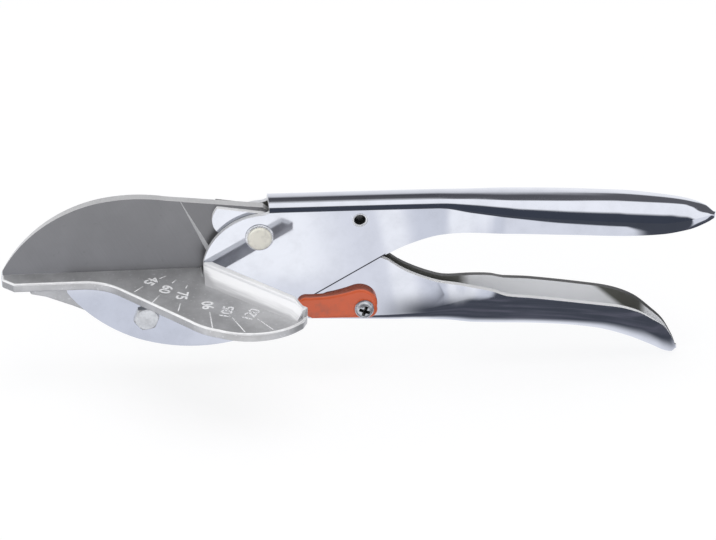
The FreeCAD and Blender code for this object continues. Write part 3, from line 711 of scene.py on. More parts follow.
@dataclass(frozen=True)
class Fair:
    """A fair curve through given places that never swings past them."""

    places: tuple[Place, ...]

    def __call__(self, x: float) -> float:
        """The height of the curve.

        Args:
            x: Where along it.

        Returns:
            The height; the ends go on level.
        """
        xs = [place[0] for place in self.places]
        ys = [place[1] for place in self.places]
        if x <= xs[0]:
            return ys[0]
        if x >= xs[-1]:
            return ys[-1]
        at = bisect_right(xs, x) - 1
        run = xs[at + 1] - xs[at]
        share = (x - xs[at]) / run
        leave, arrive = self._slope(at) * run, self._slope(at + 1) * run
        rest = 1.0 - share
        return (ys[at] * (1 + 2 * share) * rest ** 2 + leave * share * rest ** 2
                + ys[at + 1] * share ** 2 * (3 - 2 * share) - arrive * share ** 2 * rest)

    def _slope(self, at: int) -> float:
        """The curve's slope at one of its places.

        Args:
            at: The place's number.

        Returns:
            The slope, level where the curve turns back.
        """
        def chord(first: int) -> float:
            """The slope of the straight line to the next place."""
            (x0, y0), (x1, y1) = self.places[first], self.places[first + 1]
            return (y1 - y0) / (x1 - x0)
        if at == 0:
            return chord(0)
        if at == len(self.places) - 1:
            return chord(at - 1)
        before, after = chord(at - 1), chord(at)
        return 0.0 if before * after <= 0 else 2 * before * after / (before + after)


def only(kind: type, items: Iterable) -> list:
    """The items of one kind: vertices, edges or faces."""
    return [item for item in items if isinstance(item, kind)]


def sweep_between(start: Place, via: Place, end: Place) -> tuple[Place, float]:
    """The circle through three places.

    Args:
        start: Where the arc begins.
        via: A place on it.
        end: Where it ends.

    Returns:
        Its centre and the signed sweep in radians, from X towards Z.
    """
    (ax, az), (bx, bz), (cx, cz) = start, via, end
    twice = 2 * (ax * (bz - cz) + bx * (cz - az) + cx * (az - bz))
    a2, b2, c2 = ax * ax + az * az, bx * bx + bz * bz, cx * cx + cz * cz
    ox = (a2 * (bz - cz) + b2 * (cz - az) + c2 * (az - bz)) / twice
    oz = (a2 * (cx - bx) + b2 * (ax - cx) + c2 * (bx - ax)) / twice
    turn = (math.atan2(cz - oz, cx - ox) - math.atan2(az - oz, ax - ox)) % FULL_TURN
    leftward = (bx - ax) * (cz - bz) - (bz - az) * (cx - bx) > 0
    return (ox, oz), turn if leftward else turn - FULL_TURN


class Drawing:
    """A line drawn vertex by vertex in an upright plane of constant Y."""

    def __init__(self, mesh: BMesh, start: Place | BMVert, y: float) -> None:
        """Begin at a place, or at a vertex that is there already.

        Args:
            mesh: Where to draw.
            start: A place, or a vertex of the mesh.
            y: The plane's Y.
        """
        self.mesh = mesh
        self.y = y
        if isinstance(start, BMVert):
            self.first = start
        else:
            self.first = bmesh.ops.create_vert(mesh, co=(start[0], y, start[1]))["vert"][0]
        self.last = self.first
        self.edges: list[BMEdge] = []

    def line(self, *places: Place) -> "Drawing":
        """Straight lines on to each place in turn.

        Args:
            places: Where each line ends.

        Returns:
            The drawing.
        """
        for x, z in places:
            grown = bmesh.ops.extrude_vert_indiv(self.mesh, verts=[self.last])
            self.last = grown["verts"][0]
            self.last.co = (x, self.y, z)
            self.edges.append(grown["edges"][0])
        return self

    def arc(self, via: Place, end: Place, step: float = 6.0) -> "Drawing":
        """An arc on through one place to another.

        Args:
            via: A place on the arc.
            end: Its end.
            step: Degrees to a chord.

        Returns:
            The drawing.
        """
        start = (self.last.co.x, self.last.co.z)
        (ox, oz), sweep = sweep_between(start, via, end)
        steps = max(2, round(abs(math.degrees(sweep)) / step))
        known = set(self.mesh.edges)
        grown = bmesh.ops.spin(self.mesh, geom=[self.last], cent=(ox, self.y, oz), axis=(0, -1, 0),
                               angle=sweep, steps=steps)
        self.edges += [edge for edge in self.mesh.edges if edge not in known]
        self.last = only(BMVert, grown["geom_last"])[0]
        self.last.co = (end[0], self.y, end[1])
        return self

    def close(self, onto: BMVert | None = None) -> "Drawing":
        """A last straight line back to the start, or onto another vertex.

        Args:
            onto: The other vertex.

        Returns:
            The drawing.
        """
        made = bmesh.ops.contextual_create(self.mesh, geom=[self.last, onto or self.first])
        self.edges += made["edges"]
        return self


def slab(mesh: BMesh, drawing: Drawing, depth: float) -> None:
    """Fill a closed drawing and give it a depth along Y.

    Args:
        mesh: The drawing's mesh.
        drawing: The closed outline.
        depth: How far it goes along Y.
    """
    face = bmesh.ops.contextual_create(mesh, geom=drawing.edges)["faces"]
    grown = bmesh.ops.extrude_face_region(mesh, geom=face)["geom"]
    bmesh.ops.translate(mesh, verts=only(BMVert, grown), vec=(0, depth, 0))
    bmesh.ops.recalc_face_normals(mesh, faces=mesh.faces)


def turned(profile: Sequence[Place], centre: Place, steps: int = 56) -> BMesh:
    """A turned part about an axis along Y.

    Args:
        profile: Radius and Y of each corner; it starts and ends on the axis, or closes on itself.
        centre: X and Z of the axis.
        steps: Divisions of the turn.

    Returns:
        The closed mesh.
    """
    mesh = bmesh.new()
    radius, y = profile[0]
    first = last = bmesh.ops.create_vert(mesh, co=(centre[0] + radius, y, centre[1]))["vert"][0]
    on_axis = radius == 0.0
    for radius, y in profile[1:]:
        grown = bmesh.ops.extrude_vert_indiv(mesh, verts=[last])
        last = grown["verts"][0]
        last.co = (centre[0] + radius, y, centre[1])
    if not on_axis:
        bmesh.ops.contextual_create(mesh, geom=[last, first])
    bmesh.ops.spin(mesh, geom=mesh.verts[:] + mesh.edges[:], cent=(centre[0], 0, centre[1]),
                   axis=(0, 1, 0), angle=FULL_TURN, steps=steps, use_merge=True)
    bmesh.ops.remove_doubles(mesh, verts=mesh.verts, dist=SNAP)
    bmesh.ops.recalc_face_normals(mesh, faces=mesh.faces)
    return mesh


def facing(centre: Place, y: float, turn: float = 0.0) -> Matrix:
    """Moves a flat shape to face along Y at a place, turned by some degrees about that axis."""
    return (Matrix.Translation((centre[0], y, centre[1])) @ Matrix.Rotation(math.radians(turn), 4, "Y")
            @ Matrix.Rotation(math.radians(90), 4, "X"))


def prism(sides: int, radius: float, centre: Place, near: float, far: float,
          turn: float = 0.0) -> BMesh:
    """A regular prism along Y.

    Args:
        sides: How many.
        radius: To the corners.
        centre: X and Z of its axis.
        near: Lower Y.
        far: Upper Y.
        turn: Degrees about its axis.

    Returns:
        The closed mesh.
    """
    mesh = bmesh.new()
    bmesh.ops.create_circle(mesh, cap_ends=True, segments=sides, radius=radius,
                            matrix=facing(centre, near, turn))
    grown = bmesh.ops.extrude_face_region(mesh, geom=mesh.faces[:])["geom"]
    bmesh.ops.translate(mesh, verts=only(BMVert, grown), vec=(0, far - near, 0))
    bmesh.ops.recalc_face_normals(mesh, faces=mesh.faces)
    return mesh


def trimmed(mesh: BMesh, place: Sequence[float], normal: Sequence[float], near: float,
            inner: bool = True, outer: bool = False) -> None:
    """Cut a closed mesh by a plane and close what is left.

    Args:
        mesh: What to cut.
        place: A place on the plane.
        normal: The plane's normal.
        near: Vertices closer than this to the plane count as on it.
        inner: Whether the side that the normal leaves goes.
        outer: Whether the side that it points to goes.
    """
    cut = bmesh.ops.bisect_plane(mesh, geom=mesh.verts[:] + mesh.edges[:] + mesh.faces[:], dist=near,
                                 plane_co=place, plane_no=normal, clear_inner=inner,
                                 clear_outer=outer)["geom_cut"]
    bmesh.ops.contextual_create(mesh, geom=[edge for edge in only(BMEdge, cut) if edge.is_boundary])


def meshed(curve: bpy.types.Curve) -> bpy.types.Mesh:
    """A text or a curve with thickness as a mesh.

    Args:
        curve: The curve's data.

    Returns:
        The mesh data.
    """
    holder = bpy.data.objects.new(f"{curve.name}_drawn", curve)
    data = bpy.data.meshes.new_from_object(holder)
    bpy.data.objects.remove(holder)
    return data


def to_mesh(name: str, mesh: BMesh) -> bpy.types.Mesh:
    """Put a bmesh away as plain mesh data.

    Args:
        name: What to call it.
        mesh: The bmesh, freed after it.

    Returns:
        The mesh data.
    """
    data = bpy.data.meshes.new(name)
    mesh.to_mesh(data)
    mesh.free()
    return data


def combined(name: str, base: BMesh, tool: BMesh, operation: str) -> BMesh:
    """Cut, join or intersect two closed meshes.

    Args:
        name: What to call the working meshes.
        base: The mesh that is kept.
        tool: The other one.
        operation: DIFFERENCE, UNION or INTERSECT.

    Returns:
        The new closed mesh; both others are freed.
    """
    holders = [bpy.data.objects.new(f"{name}_{index}", to_mesh(f"{name}_{index}", item))
               for index, item in enumerate((base, tool))]
    for holder in holders:
        bpy.context.scene.collection.objects.link(holder)
    modifier = holders[0].modifiers.new("Carve", "BOOLEAN")
    modifier.operation = operation
    modifier.solver = "EXACT"
    modifier.object = holders[1]
    evaluated = holders[0].evaluated_get(bpy.context.evaluated_depsgraph_get())
    result = bmesh.new()
    result.from_mesh(evaluated.to_mesh())
    evaluated.to_mesh_clear()
    for holder in holders:
        data = holder.data
        bpy.data.objects.remove(holder)
        bpy.data.meshes.remove(data)
    bmesh.ops.remove_doubles(result, verts=result.verts, dist=SNAP)
    return result


def finished(name: str, data: bpy.types.Mesh | BMesh, finish: Finish, body: Body,
             replaced: Iterable[str] = (), scale: float = MM) -> bpy.types.Object:
    """Make a piece of a mesh: its size, its finish and its place in the frame.

    Args:
        name: The piece's name.
        data: Its mesh.
        finish: What it is dressed in.
        body: What it moves with.
        replaced: Frame nodes that it stands for.
        scale: Metres to one unit of the mesh.

    Returns:
        The piece.
    """
    if isinstance(data, BMesh):
        data = to_mesh(name, data)
    data.transform(Matrix.Scale(scale, 4))
    data.shade_smooth()
    piece = bpy.data.objects.new(name, data)
    bpy.context.scene.collection.objects.link(piece)
    if data.materials:
        data.materials.clear()
    data.materials.append(finish.material())
    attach(piece, body.value)
    if replaced:
        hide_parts(*replaced)
    log.info("%s: %d faces, %s", name, len(data.polygons), finish.name)
    return piece


def also(piece: bpy.types.Object, finish: Finish) -> int:
    """Add another finish to a piece and give its number."""
    piece.data.materials.append(finish.material())
    return len(piece.data.materials) - 1


def softened(piece: bpy.types.Object, width: float, segments: int, angle: float) -> bpy.types.Object:
    """Round a piece's edges and keep its flats flat to the eye.

    Args:
        piece: What to round.
        width: Width of the rounding, in millimetres.
        segments: Faces across it.
        angle: Edges sharper than this are rounded, in degrees.

    Returns:
        The piece.
    """
    bevel = piece.modifiers.new("Edges", "BEVEL")
    bevel.width = width * MM
    bevel.segments = segments
    bevel.limit_method = "ANGLE"
    bevel.angle_limit = math.radians(angle)
    bevel.miter_outer = "MITER_ARC"
    weighted = piece.modifiers.new("Flats", "WEIGHTED_NORMAL")
    weighted.mode = "FACE_AREA"
    weighted.weight = NORMAL_WEIGHT
    weighted.keep_sharp = True
    return piece


def redrawn(node: str) -> BMesh:
    """A merged copy of a frame node's mesh, its flat faces whole again, in metres.

    Args:
        node: The node's name.

    Returns:
        The copy.
    """
    mesh = bmesh.new()
    mesh.from_mesh(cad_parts[node].data)
    bmesh.ops.remove_doubles(mesh, verts=mesh.verts, dist=4 * SNAP * MM)
    bmesh.ops.dissolve_limit(mesh, angle_limit=FLAT, verts=mesh.verts, edges=mesh.edges)
    return mesh


# ---------------------------------------------------------------- pressed channels


@dataclass
class Channel:
    """A handle pressed from sheet: flat cheeks in front, a flared round-backed grip behind."""

    half: Fair
    back: Fair
    rim: Fair
    across: Fair
    down: Fair
    side: int
    start_x: float
    neck_x: float
    end_x: float
    crown: float
    flat_count: int = 4
    bend_count: int = 16
    side_count: int = 4
    ring_count: int = 54
    spine_step: float = 4.0
    ring_crowding: float = 1.5
    widest_bend: float = 0.95
    deepest_bend: float = 0.93
    nose: tuple[Place, ...] = ((0.55, 0.35), (0.0, 0.5))
    thinnest: float = 0.25
    thinning: float = 0.8
    edge_round: float = 0.42

    def section(self, x: float) -> list[Vector]:
        """Half of the outer section, from the middle of the back down to the rim.

        Args:
            x: Where the section is.

        Returns:
            Its places.
        """
        half, back, rim = self.half(x), self.back(x), self.rim(x)
        depth = abs(back - rim)
        across = min(self.across(x), half * self.widest_bend)
        down = min(self.down(x), depth * self.deepest_bend)
        lead = math.radians(self.crown)
        slope = down / across * math.tan(lead)
        flat = half - across + across * math.sin(lead)
        drop = slope * flat / 2
        centre = drop + down * math.cos(lead)
        places = []
        for index in range(self.flat_count):
            y = flat * index / self.flat_count
            places.append((y, slope * y * y / (2 * flat)))
        for index in range(self.bend_count + 1):
            angle = lead + (math.pi / 2 - lead) * index / self.bend_count
            places.append((half - across + across * math.sin(angle), centre - down * math.cos(angle)))
        for index in range(1, self.side_count + 1):
            places.append((half, centre + (depth - centre) * index / self.side_count))
        return [Vector((x, -y, back - self.side * fall)) for y, fall in places]

    def skin(self, mesh: BMesh) -> tuple[list, list]:
        """Draw half of the back and the grip, open along the cheeks.

        Args:
            mesh: Where to draw.

        Returns:
            The edge of the cheek's opening along the spine, front to back, and down the neck to the rim.
        """
        places = self.section(self.neck_x)
        chain = [bmesh.ops.create_vert(mesh, co=places[0])["vert"][0]]
        for place in places[1:]:
            grown = bmesh.ops.extrude_vert_indiv(mesh, verts=[chain[-1]])["verts"][0]
            grown.co = place
            chain.append(grown)
        rows = self.flat_count + self.bend_count + 1
        neck, front = chain, chain[:rows]
        spine = [front[-1]]
        steps = max(2, round((self.neck_x - self.start_x) / self.spine_step))
        for index in range(1, steps + 1):
            x = self.neck_x + (self.start_x - self.neck_x) * index / steps
            front = self._carry(mesh, front, self.section(x)[:rows])
            spine.append(front[-1])
        ring = neck
        for index in range(1, self.ring_count + 1):
            share = 1 - (1 - index / self.ring_count) ** self.ring_crowding
            ring = self._carry(mesh, ring, self.section(self.neck_x + (self.end_x - self.neck_x) * share))
        last = self.section(self.end_x)
        for share, reach in self.nose:
            ring = self._carry(mesh, ring, [Vector((self.end_x + reach, place.y * share, place.z))
                                            for place in last])
        return spine[::-1], neck[rows - 1:]

    @staticmethod
    def _carry(mesh: BMesh, chain: list, places: list[Vector]) -> list:
        """Extrude a chain of vertices on to new places and give the new chain.

        Args:
            mesh: The handle's mesh.
            chain: The chain's vertices in order.
            places: Where the new ones go.

        Returns:
            The new vertices in the same order.
        """
        edges = [mesh.edges.get(pair) for pair in zip(chain, chain[1:])]
        geometry = bmesh.ops.extrude_edge_only(mesh, edges=edges)["geom"]
        grown = set(only(BMVert, geometry))
        following = []
        for vertex, place in zip(chain, places):
            others = (edge.other_vert(vertex) for edge in vertex.link_edges)
            fresh = next(other for other in others if other in grown)
            fresh.co = place
            following.append(fresh)
        return following

    @staticmethod
    def cheek(mesh: BMesh, drawing: Drawing, spine: list, neck: list,
              holes: Sequence[tuple] = ()) -> None:
        """Fill a flat cheek inside its drawn outline, the spine and the neck.

        Args:
            mesh: The handle's mesh.
            drawing: The outline from the neck's rim round to the front of the spine.
            spine: Vertices along the spine.
            neck: Vertices down the neck.
            holes: Round holes, each x, z and radius.
        """
        edges = list(drawing.edges)
        for row in (spine, neck):
            edges += [mesh.edges.get(pair) for pair in zip(row, row[1:])]
        for x, z, radius in holes:
            known = set(mesh.edges)
            bmesh.ops.create_circle(mesh, cap_ends=False, segments=40, radius=radius,
                                    matrix=facing((x, z), drawing.y))
            edges += [edge for edge in mesh.edges if edge not in known]
        bmesh.ops.triangle_fill(mesh, edges=edges, use_beauty=True, use_dissolve=False,
                                normal=(0, -1, 0))

    def pressed(self, name: str, mesh: BMesh, body: Body, node: str, thin_from: float,
                plate: Finish, rim: Finish) -> bpy.types.Object:
        """Mirror the half skin, give it the sheet's thickness and soften its edges.

        Args:
            name: The piece's name.
            mesh: Half of the skin, near side.
            body: What it moves with.
            node: The frame node that it stands for.
            thin_from: Where the sheet starts to thin out to the tip.
            plate: Finish of the outside.
            rim: Finish of the sheet's cut edge.

        Returns:
            The piece.
        """
        bmesh.ops.mirror(mesh, geom=mesh.verts[:] + mesh.edges[:] + mesh.faces[:], axis="Y",
                         merge_dist=2 * SNAP)
        bmesh.ops.remove_doubles(mesh, verts=mesh.verts, dist=4 * SNAP)
        bmesh.ops.recalc_face_normals(mesh, faces=mesh.faces)
        near = [face for face in mesh.faces if face.calc_center_median().y < -INNER_FACE + 0.1]
        widest = max(near, key=lambda face: face.calc_area())
        if widest.normal.y > 0:
            bmesh.ops.reverse_faces(mesh, faces=mesh.faces)
        piece = finished(name, mesh, plate, body, [node])
        group = piece.vertex_groups.new(name="sheet")
        for vertex in piece.data.vertices:
            past = max(0.0, vertex.co.x / MM - thin_from) / (self.end_x - thin_from)
            group.add([vertex.index], max(self.thinnest, 1.0 - self.thinning * past), "REPLACE")
        sheet = piece.modifiers.new("Sheet", "SOLIDIFY")
        sheet.thickness = STEEL * MM
        sheet.offset = -1.0
        sheet.use_even_offset = True
        sheet.vertex_group = group.name
        sheet.material_offset = also(piece, LINING)
        sheet.material_offset_rim = also(piece, rim)
        return softened(piece, self.edge_round, 3, 40.0)


@dataclass
class Handle:
    """What both handles share: the curves of their channel, from its start to its tip, and the work."""

    name: str
    node: str
    body: Body
    plate: Finish
    edge: Finish
    face: float
    rim: tuple[Place, ...]
    half: tuple[Place, ...]
    back: tuple[Place, ...]
    across: tuple[Place, ...]
    down: tuple[Place, ...]
    side: int
    neck_x: float
    crown: float
    thin_from: float
    cheek_rim: tuple[float, ...]
    holes: tuple[tuple[float, float, float], ...] = ()

    def channel(self) -> Channel:
        """The channel along the curves."""
        curves = (Fair(curve) for curve in (self.half, self.back, self.rim, self.across, self.down))
        return Channel(*curves, self.side, self.half[0][0], self.neck_x, self.half[-1][0], self.crown)

    def outline(self, drawing: Drawing) -> None:
        """Draw the cheek from the end of its rim to the front of the spine; each handle has its own."""
        raise NotImplementedError

    def build(self) -> bpy.types.Object:
        """Draw and press the handle.

        Returns:
            The piece.
        """
        channel = self.channel()
        mesh = bmesh.new()
        spine, neck = channel.skin(mesh)
        drawing = Drawing(mesh, neck[-1], -self.face).line(*((x, channel.rim(x)) for x in self.cheek_rim))
        self.outline(drawing)
        channel.cheek(mesh, drawing.close(spine[0]), spine, neck, self.holes)
        return channel.pressed(self.name, mesh, self.body, self.node, self.thin_from, self.plate, self.edge)


@dataclass
class AnvilHandle(Handle):
    """Upper handle: cheeks down to the lower jaw, catch, back and grip."""

    name: str = "upper_handle_shell"
    node: str = "anvil_handle"
    body: Body = Body.ANVIL
    plate: Finish = CHROME
    edge: Finish = CUT_EDGE
    face: float = OUTER_FACE
    rim: tuple[Place, ...] = ((64.7, 5.4), (72, 9), (80, 11.8), (84, 12.7), (95.8, 13.7), (109.5, 13.6),
                              (129, 12.7), (148.7, 11.4), (162.4, 11.0), (172.2, 11.4), (179, 12.4),
                              (182, 12.9))
    half: tuple[Place, ...] = ((24, 5.85), (84, 5.85), (95.8, 7.0), (109.5, 8.7), (129, 9.3), (148.7, 9.3),
                               (162.4, 8.5), (172.2, 6.5), (179, 3.6), (182, 1.4))
    back: tuple[Place, ...] = ((24, 26.9), (84, 26.2), (95.8, 25.85), (109.5, 25.3), (129, 24.5),
                               (148.7, 23.3), (162.4, 21.6), (172.2, 19.8), (179, 17.3), (182, 14.7))
    across: tuple[Place, ...] = ((24, 2.8), (84, 2.8), (95.8, 4.0), (109.5, 5.4), (129, 6.2), (148.7, 7.4),
                                 (162.4, 7.4), (172.2, 5.8), (179, 3.3), (182, 1.3))
    down: tuple[Place, ...] = ((24, 2.8), (84, 2.8), (95.8, 4.4), (109.5, 5.6), (129, 7.8), (148.7, 9.0),
                               (162.4, 8.9), (172.2, 7.2), (179, 4.4), (182, 1.7))
    side: int = 1
    neck_x: float = 84.0
    crown: float = 11.0
    thin_from: float = 174.0
    cheek_rim: tuple[float, ...] = (82, 80, 78, 76, 74, 72, 70, 68, 66.2)
    holes: tuple[tuple[float, float, float], ...] = ((*CROSS_PIN, PIN_RADIUS),)
    catch: tuple[Place, ...] = ((64.7, 5.4), (36.8, -11.5), (36.8, -11.07), (34.8, -11.07), (34.8, -13.0),
                                (34.14, -13.34), (33.39, -11.81))
    track: tuple[Place, Place] = ((24.9, -14.46), (16.4, -14.51))
    heel: Place = (14.3, -24.3)
    heel_round: tuple[Place, Place] = ((13.45, -26.2), (11.4, -26.9))
    belly: tuple[Place, Place] = ((-4.5, -28.2), (-22.5, -24.4))
    chin: tuple[Place, Place] = ((-36.0, -16.6), (-47.2, -4.9))
    seat: tuple[Place, ...] = ((-47.2, -3.3), (0.8, -3.3), (0.8, 5.0))
    shoulder: tuple[Place, Place] = ((8.4, 17.9), (22.2, 23.1))

    def outline(self, drawing: Drawing) -> None:
        """Round the catch, the heel and the lower jaw to the shoulder."""
        drawing.line(*self.catch).arc(*self.track).line(self.heel).arc(*self.heel_round, 12.0)
        drawing.arc(*self.belly, 3.0).arc(*self.chin, 3.0).line(*self.seat).arc(*self.shoulder, 4.0)


@dataclass
class BladeHandle(Handle):
    """Lower handle: cheeks that clamp the blade, channel floor and hooked grip."""

    name: str = "lower_handle_shell"
    node: str = "blade_handle"
    body: Body = Body.LEVER
    plate: Finish = INNER_CHROME
    edge: Finish = ROLLED_EDGE
    face: float = INNER_FACE
    rim: tuple[Place, ...] = ((66.2, 2.0), (70.6, -1.4), (76, -4.4), (81.4, -6.7), (86, -8.1), (94, -9),
                              (102.8, -10.3), (108.2, -12), (116, -12.8), (124, -14), (135.5, -15.9),
                              (147, -18.1), (154.8, -21.1), (160.8, -25.6), (164.9, -29.3), (167.8, -34.2),
                              (169.0, -36.9), (169.5, -38.6))
    half: tuple[Place, ...] = ((38, 3.7), (86, 3.7), (97.5, 5.9), (110.7, 7.9), (125.6, 8.1), (140.4, 8.0),
                               (151.9, 7.0), (161, 4.6), (165.9, 2.6), (168.2, 1.6), (169.5, 0.9))
    back: tuple[Place, ...] = ((38, -21.3), (86, -24.4), (97.5, -25.6), (110.7, -25.9), (125.6, -26.9),
                               (140.4, -29.2), (151.9, -33.2), (161, -38), (165.9, -40.7), (168.2, -41.2),
                               (169.5, -40.2))
    across: tuple[Place, ...] = ((38, 2.6), (62, 2.9), (74, 3.2), (86, 3.5), (97.5, 5.0), (110.7, 6.4),
                                 (140.4, 6.6), (151.9, 5.8), (161, 4.0), (165.9, 2.2), (169.5, 0.8))
    down: tuple[Place, ...] = ((38, 2.6), (62, 3.2), (74, 4.6), (86, 7.4), (97.5, 12.4), (110.7, 12.6),
                               (125.6, 12.0), (140.4, 12.0), (151.9, 12.8), (161, 11.6), (165.9, 8.6),
                               (169.5, 1.4))
    side: int = -1
    neck_x: float = 86.0
    crown: float = 3.0
    thin_from: float = 160.0
    cheek_rim: tuple[float, ...] = (84, 82, 80, 78, 76, 74, 72, 70, 68)
    top: tuple[Place, ...] = ((66.2, 2.0), (27.0, 20.6), (22.0, 22.6), (5.9, 25.3))
    head_round: tuple[Place, Place] = ((4.1, 19.8), (5.9, 16.0))
    throat: Place = (9.5, 11.0)
    throat_round: tuple[Place, Place] = ((9.16, 9.08), (14.2, 3.59))
    floor_start: Place = (36.5, -19.6)

    def outline(self, drawing: Drawing) -> None:
        """Round the top, the head and the throat to the channel's floor."""
        drawing.line(*self.top).arc(*self.head_round).line(self.throat).arc(*self.throat_round)
        drawing.line(self.floor_start)


# ---------------------------------------------------------------- blade and table


@dataclass
class KnifeBlade:
    """Hollow-ground knife with its slanted plunge."""

    edge_round: float = 0.14
    upright: float = 0.2
    plunge_lean: float = 0.3
    plunge_from: float = -20.0

    def bright(self, face: bpy.types.MeshPolygon) -> bool:
        """Whether a face is on the spine or the plunge, which take a lighter copy of the steel as a painted
        highlight.

        Args:
            face: A face of the blade.

        Returns:
            True for a bright one.
        """
        normal = face.normal
        plunge = (normal.x < -self.upright and abs(normal.y) > self.plunge_lean
                  and face.center.x > self.plunge_from * MM)
        return plunge or abs(normal.y) < self.upright

    def build(self) -> bpy.types.Object:
        """Dress the blade and break its edges.

        Returns:
            The piece.
        """
        piece = finished("knife_blade", redrawn("blade"), BLADE_STEEL, Body.LEVER, ["blade"], 1.0)
        # the second finish is the painted highlight, for the spine, the plunge and the rounded edges
        second = also(piece, SPINE_HIGHLIGHT)
        for face in piece.data.polygons:
            if self.bright(face):
                face.material_index = second
        piece = softened(piece, self.edge_round, 2, 20.0)
        piece.modifiers["Edges"].material = second
        return piece


@dataclass
class MitreTable:
    """Cast table with wing, fence and the painted angle scale."""

    edge_round: float = 0.5
    top_round: float = 0.65
    sharp: float = 35.0
    level: float = 0.2
    back_lean: float = 0.3
    under_lean: float = -0.5
    rim_lean: float = 0.2
    foot: float = 0.06
    foot_reach: float = 1.2
    near: float = 1e-4
    merge: float = 1e-3
    hollow: float = 4.4
    hollow_end: float = 0.68
    hollow_runs: tuple[float, float] = (41.9, 3.4)
    hollow_steps: int = 12
    faint: tuple[str, ...] = ("105", "120")
    line_width: float = 0.42
    paint: float = 0.03
    digit_size: float = 5.6
    digit_weight: float = 0.19
    dashes: tuple[tuple[float, float, float, float], ...] = (
        (-14.8, 6.9, -12.3, 5.2), (-10.6, 10.4, -9.0, 8.2), (-6.1, 14.6, -5.3, 12.3))
    lines: tuple[tuple[float, float, float, float], ...] = (
        (-20.9, 12.0, -24.2, 15.6), (-15.7, 19.0, -18.5, 23.8), (-8.7, 25.0, -9.9, 30.6),
        (1.0, 32.0, 1.2, 43.5), (8.6, 36.6, 12.2, 47.0), (17.2, 38.0, 22.1, 46.1))
    numbers: tuple[tuple[str, float, float, float], ...] = (
        ("45", -17.8, 8.4, -132.0), ("60", -13.1, 14.6, -120.0), ("75", -7.9, 19.5, -102.0),
        ("90", 0.9, 27.2, 90.0), ("105", 7.1, 32.5, 72.0), ("120", 15.3, 35.0, 59.0))

    def build(self) -> list[bpy.types.Object]:
        """Dress the casting and paint its scale.

        Returns:
            The pieces.
        """
        plate, fence = redrawn("mitre_table"), redrawn("mitre_table")
        level = self.level * MM
        for mesh, above in ((plate, False), (fence, True)):
            self.halve(mesh, above)
            for face in mesh.faces:
                face.material_index = self.finish_of(face.normal, above)
            if not above:
                # the rounding along the plate's top edges takes finish 2, the painted highlight
                self.ease(mesh, 2, self.top_round,
                          lambda edge: all(abs(vertex.co.z) < level for vertex in edge.verts))
            self.ease(mesh, -1, self.edge_round,
                      lambda edge: all(abs(vertex.co.z) > level for vertex in edge.verts))
        pieces = [finished("mitre_table_casting", plate, CAST_METAL, Body.ANVIL, ["mitre_table"], 1.0),
                  finished("mitre_table_fence", fence, CAST_METAL, Body.ANVIL, (), 1.0),
                  finished("mitre_table_fillet", self.fillet(), MILLED_FACE_HIGHLIGHT, Body.ANVIL)]
        also(pieces[0], CAST_RIM)
        also(pieces[0], CAST_EDGE_HIGHLIGHT)
        also(pieces[1], MILLED_FACE_HIGHLIGHT)
        for piece in pieces:
            piece.modifiers.new("Flats", "WEIGHTED_NORMAL").weight = NORMAL_WEIGHT
        scale = [self.scale_lines(), *self.scale_numbers()]
        for piece in (pieces[0], *scale):
            piece.visible_glossy = False
        return [*pieces, *scale]

    def finish_of(self, normal: Vector, above: bool) -> int:
        """Which finish a face takes: the fence is milled but for its back, the plate's rim is rubbed.

        Args:
            normal: The face's normal.
            above: Whether it is on the fence.

        Returns:
            The finish's number.
        """
        if above:
            return 0 if normal.y > self.back_lean or normal.z < self.under_lean else 1
        return 1 if abs(normal.z) < self.rim_lean else 0

    def halve(self, mesh: BMesh, above: bool) -> None:
        """Keep the fence that stands on the table, or all but the fence.

        Args:
            mesh: The whole casting.
            above: Whether the fence is kept.
        """
        trimmed(mesh, (0, 0, self.foot * MM), (0, 0, 1), self.near * MM, above, not above)
        rest = -self.foot * MM if above else 0.0
        for vertex in mesh.verts:
            if (vertex.co.z < self.foot_reach * self.foot * MM) if above else (vertex.co.z > 0.0):
                vertex.co.z = rest
        bmesh.ops.remove_doubles(mesh, verts=mesh.verts, dist=self.merge * MM)
        if not above:
            bmesh.ops.dissolve_limit(mesh, angle_limit=FLAT, verts=mesh.verts, edges=mesh.edges)
        bmesh.ops.recalc_face_normals(mesh, faces=mesh.faces)

    def fillet(self) -> BMesh:
        """The hollow between the fence and the table, running out at the fence's low end.

        Returns:
            Its mesh.
        """
        mesh = bmesh.new()
        out = Vector((*MILLED_FACE_HIGHLIGHT.outward, 0.0))
        foot, up = Vector((*MILLED_FACE_HIGHLIGHT.foot, 0.0)), Vector((0.0, 0.0, 1.0))
        along = out.cross(up)
        along *= 1.0 if along.x > 0 else -1.0
        radius, sunk = self.hollow, self.foot
        lift = sunk / 4
        section = [(-sunk, -sunk), (radius, -sunk)]
        for step in range(self.hollow_steps + 1):
            angle = math.radians(90.0 / self.hollow_steps * step)
            section.append((radius - radius * math.sin(angle), radius - radius * math.cos(angle) + lift))
        section.append((-sunk, radius + lift))
        corners = [bmesh.ops.create_vert(mesh, co=foot + out * away + up * height)["vert"][0]
                   for away, height in section]
        face = bmesh.ops.contextual_create(mesh, geom=corners)["faces"]
        for run, share in zip(self.hollow_runs, (1.0, self.hollow_end)):
            grown = bmesh.ops.extrude_face_region(mesh, geom=face)["geom"]
            moved = only(BMVert, grown)
            bmesh.ops.translate(mesh, verts=moved, vec=along * run)
            foot = foot + along * run
            bmesh.ops.scale(mesh, verts=moved, vec=(share, share, share), space=Matrix.Translation(-foot))
            face = only(BMFace, grown)
        trimmed(mesh, (MILLED_FACE_HIGHLIGHT.foot[0], 0, 0), (1, 0, 0), self.near)
        bmesh.ops.recalc_face_normals(mesh, faces=mesh.faces)
        return mesh

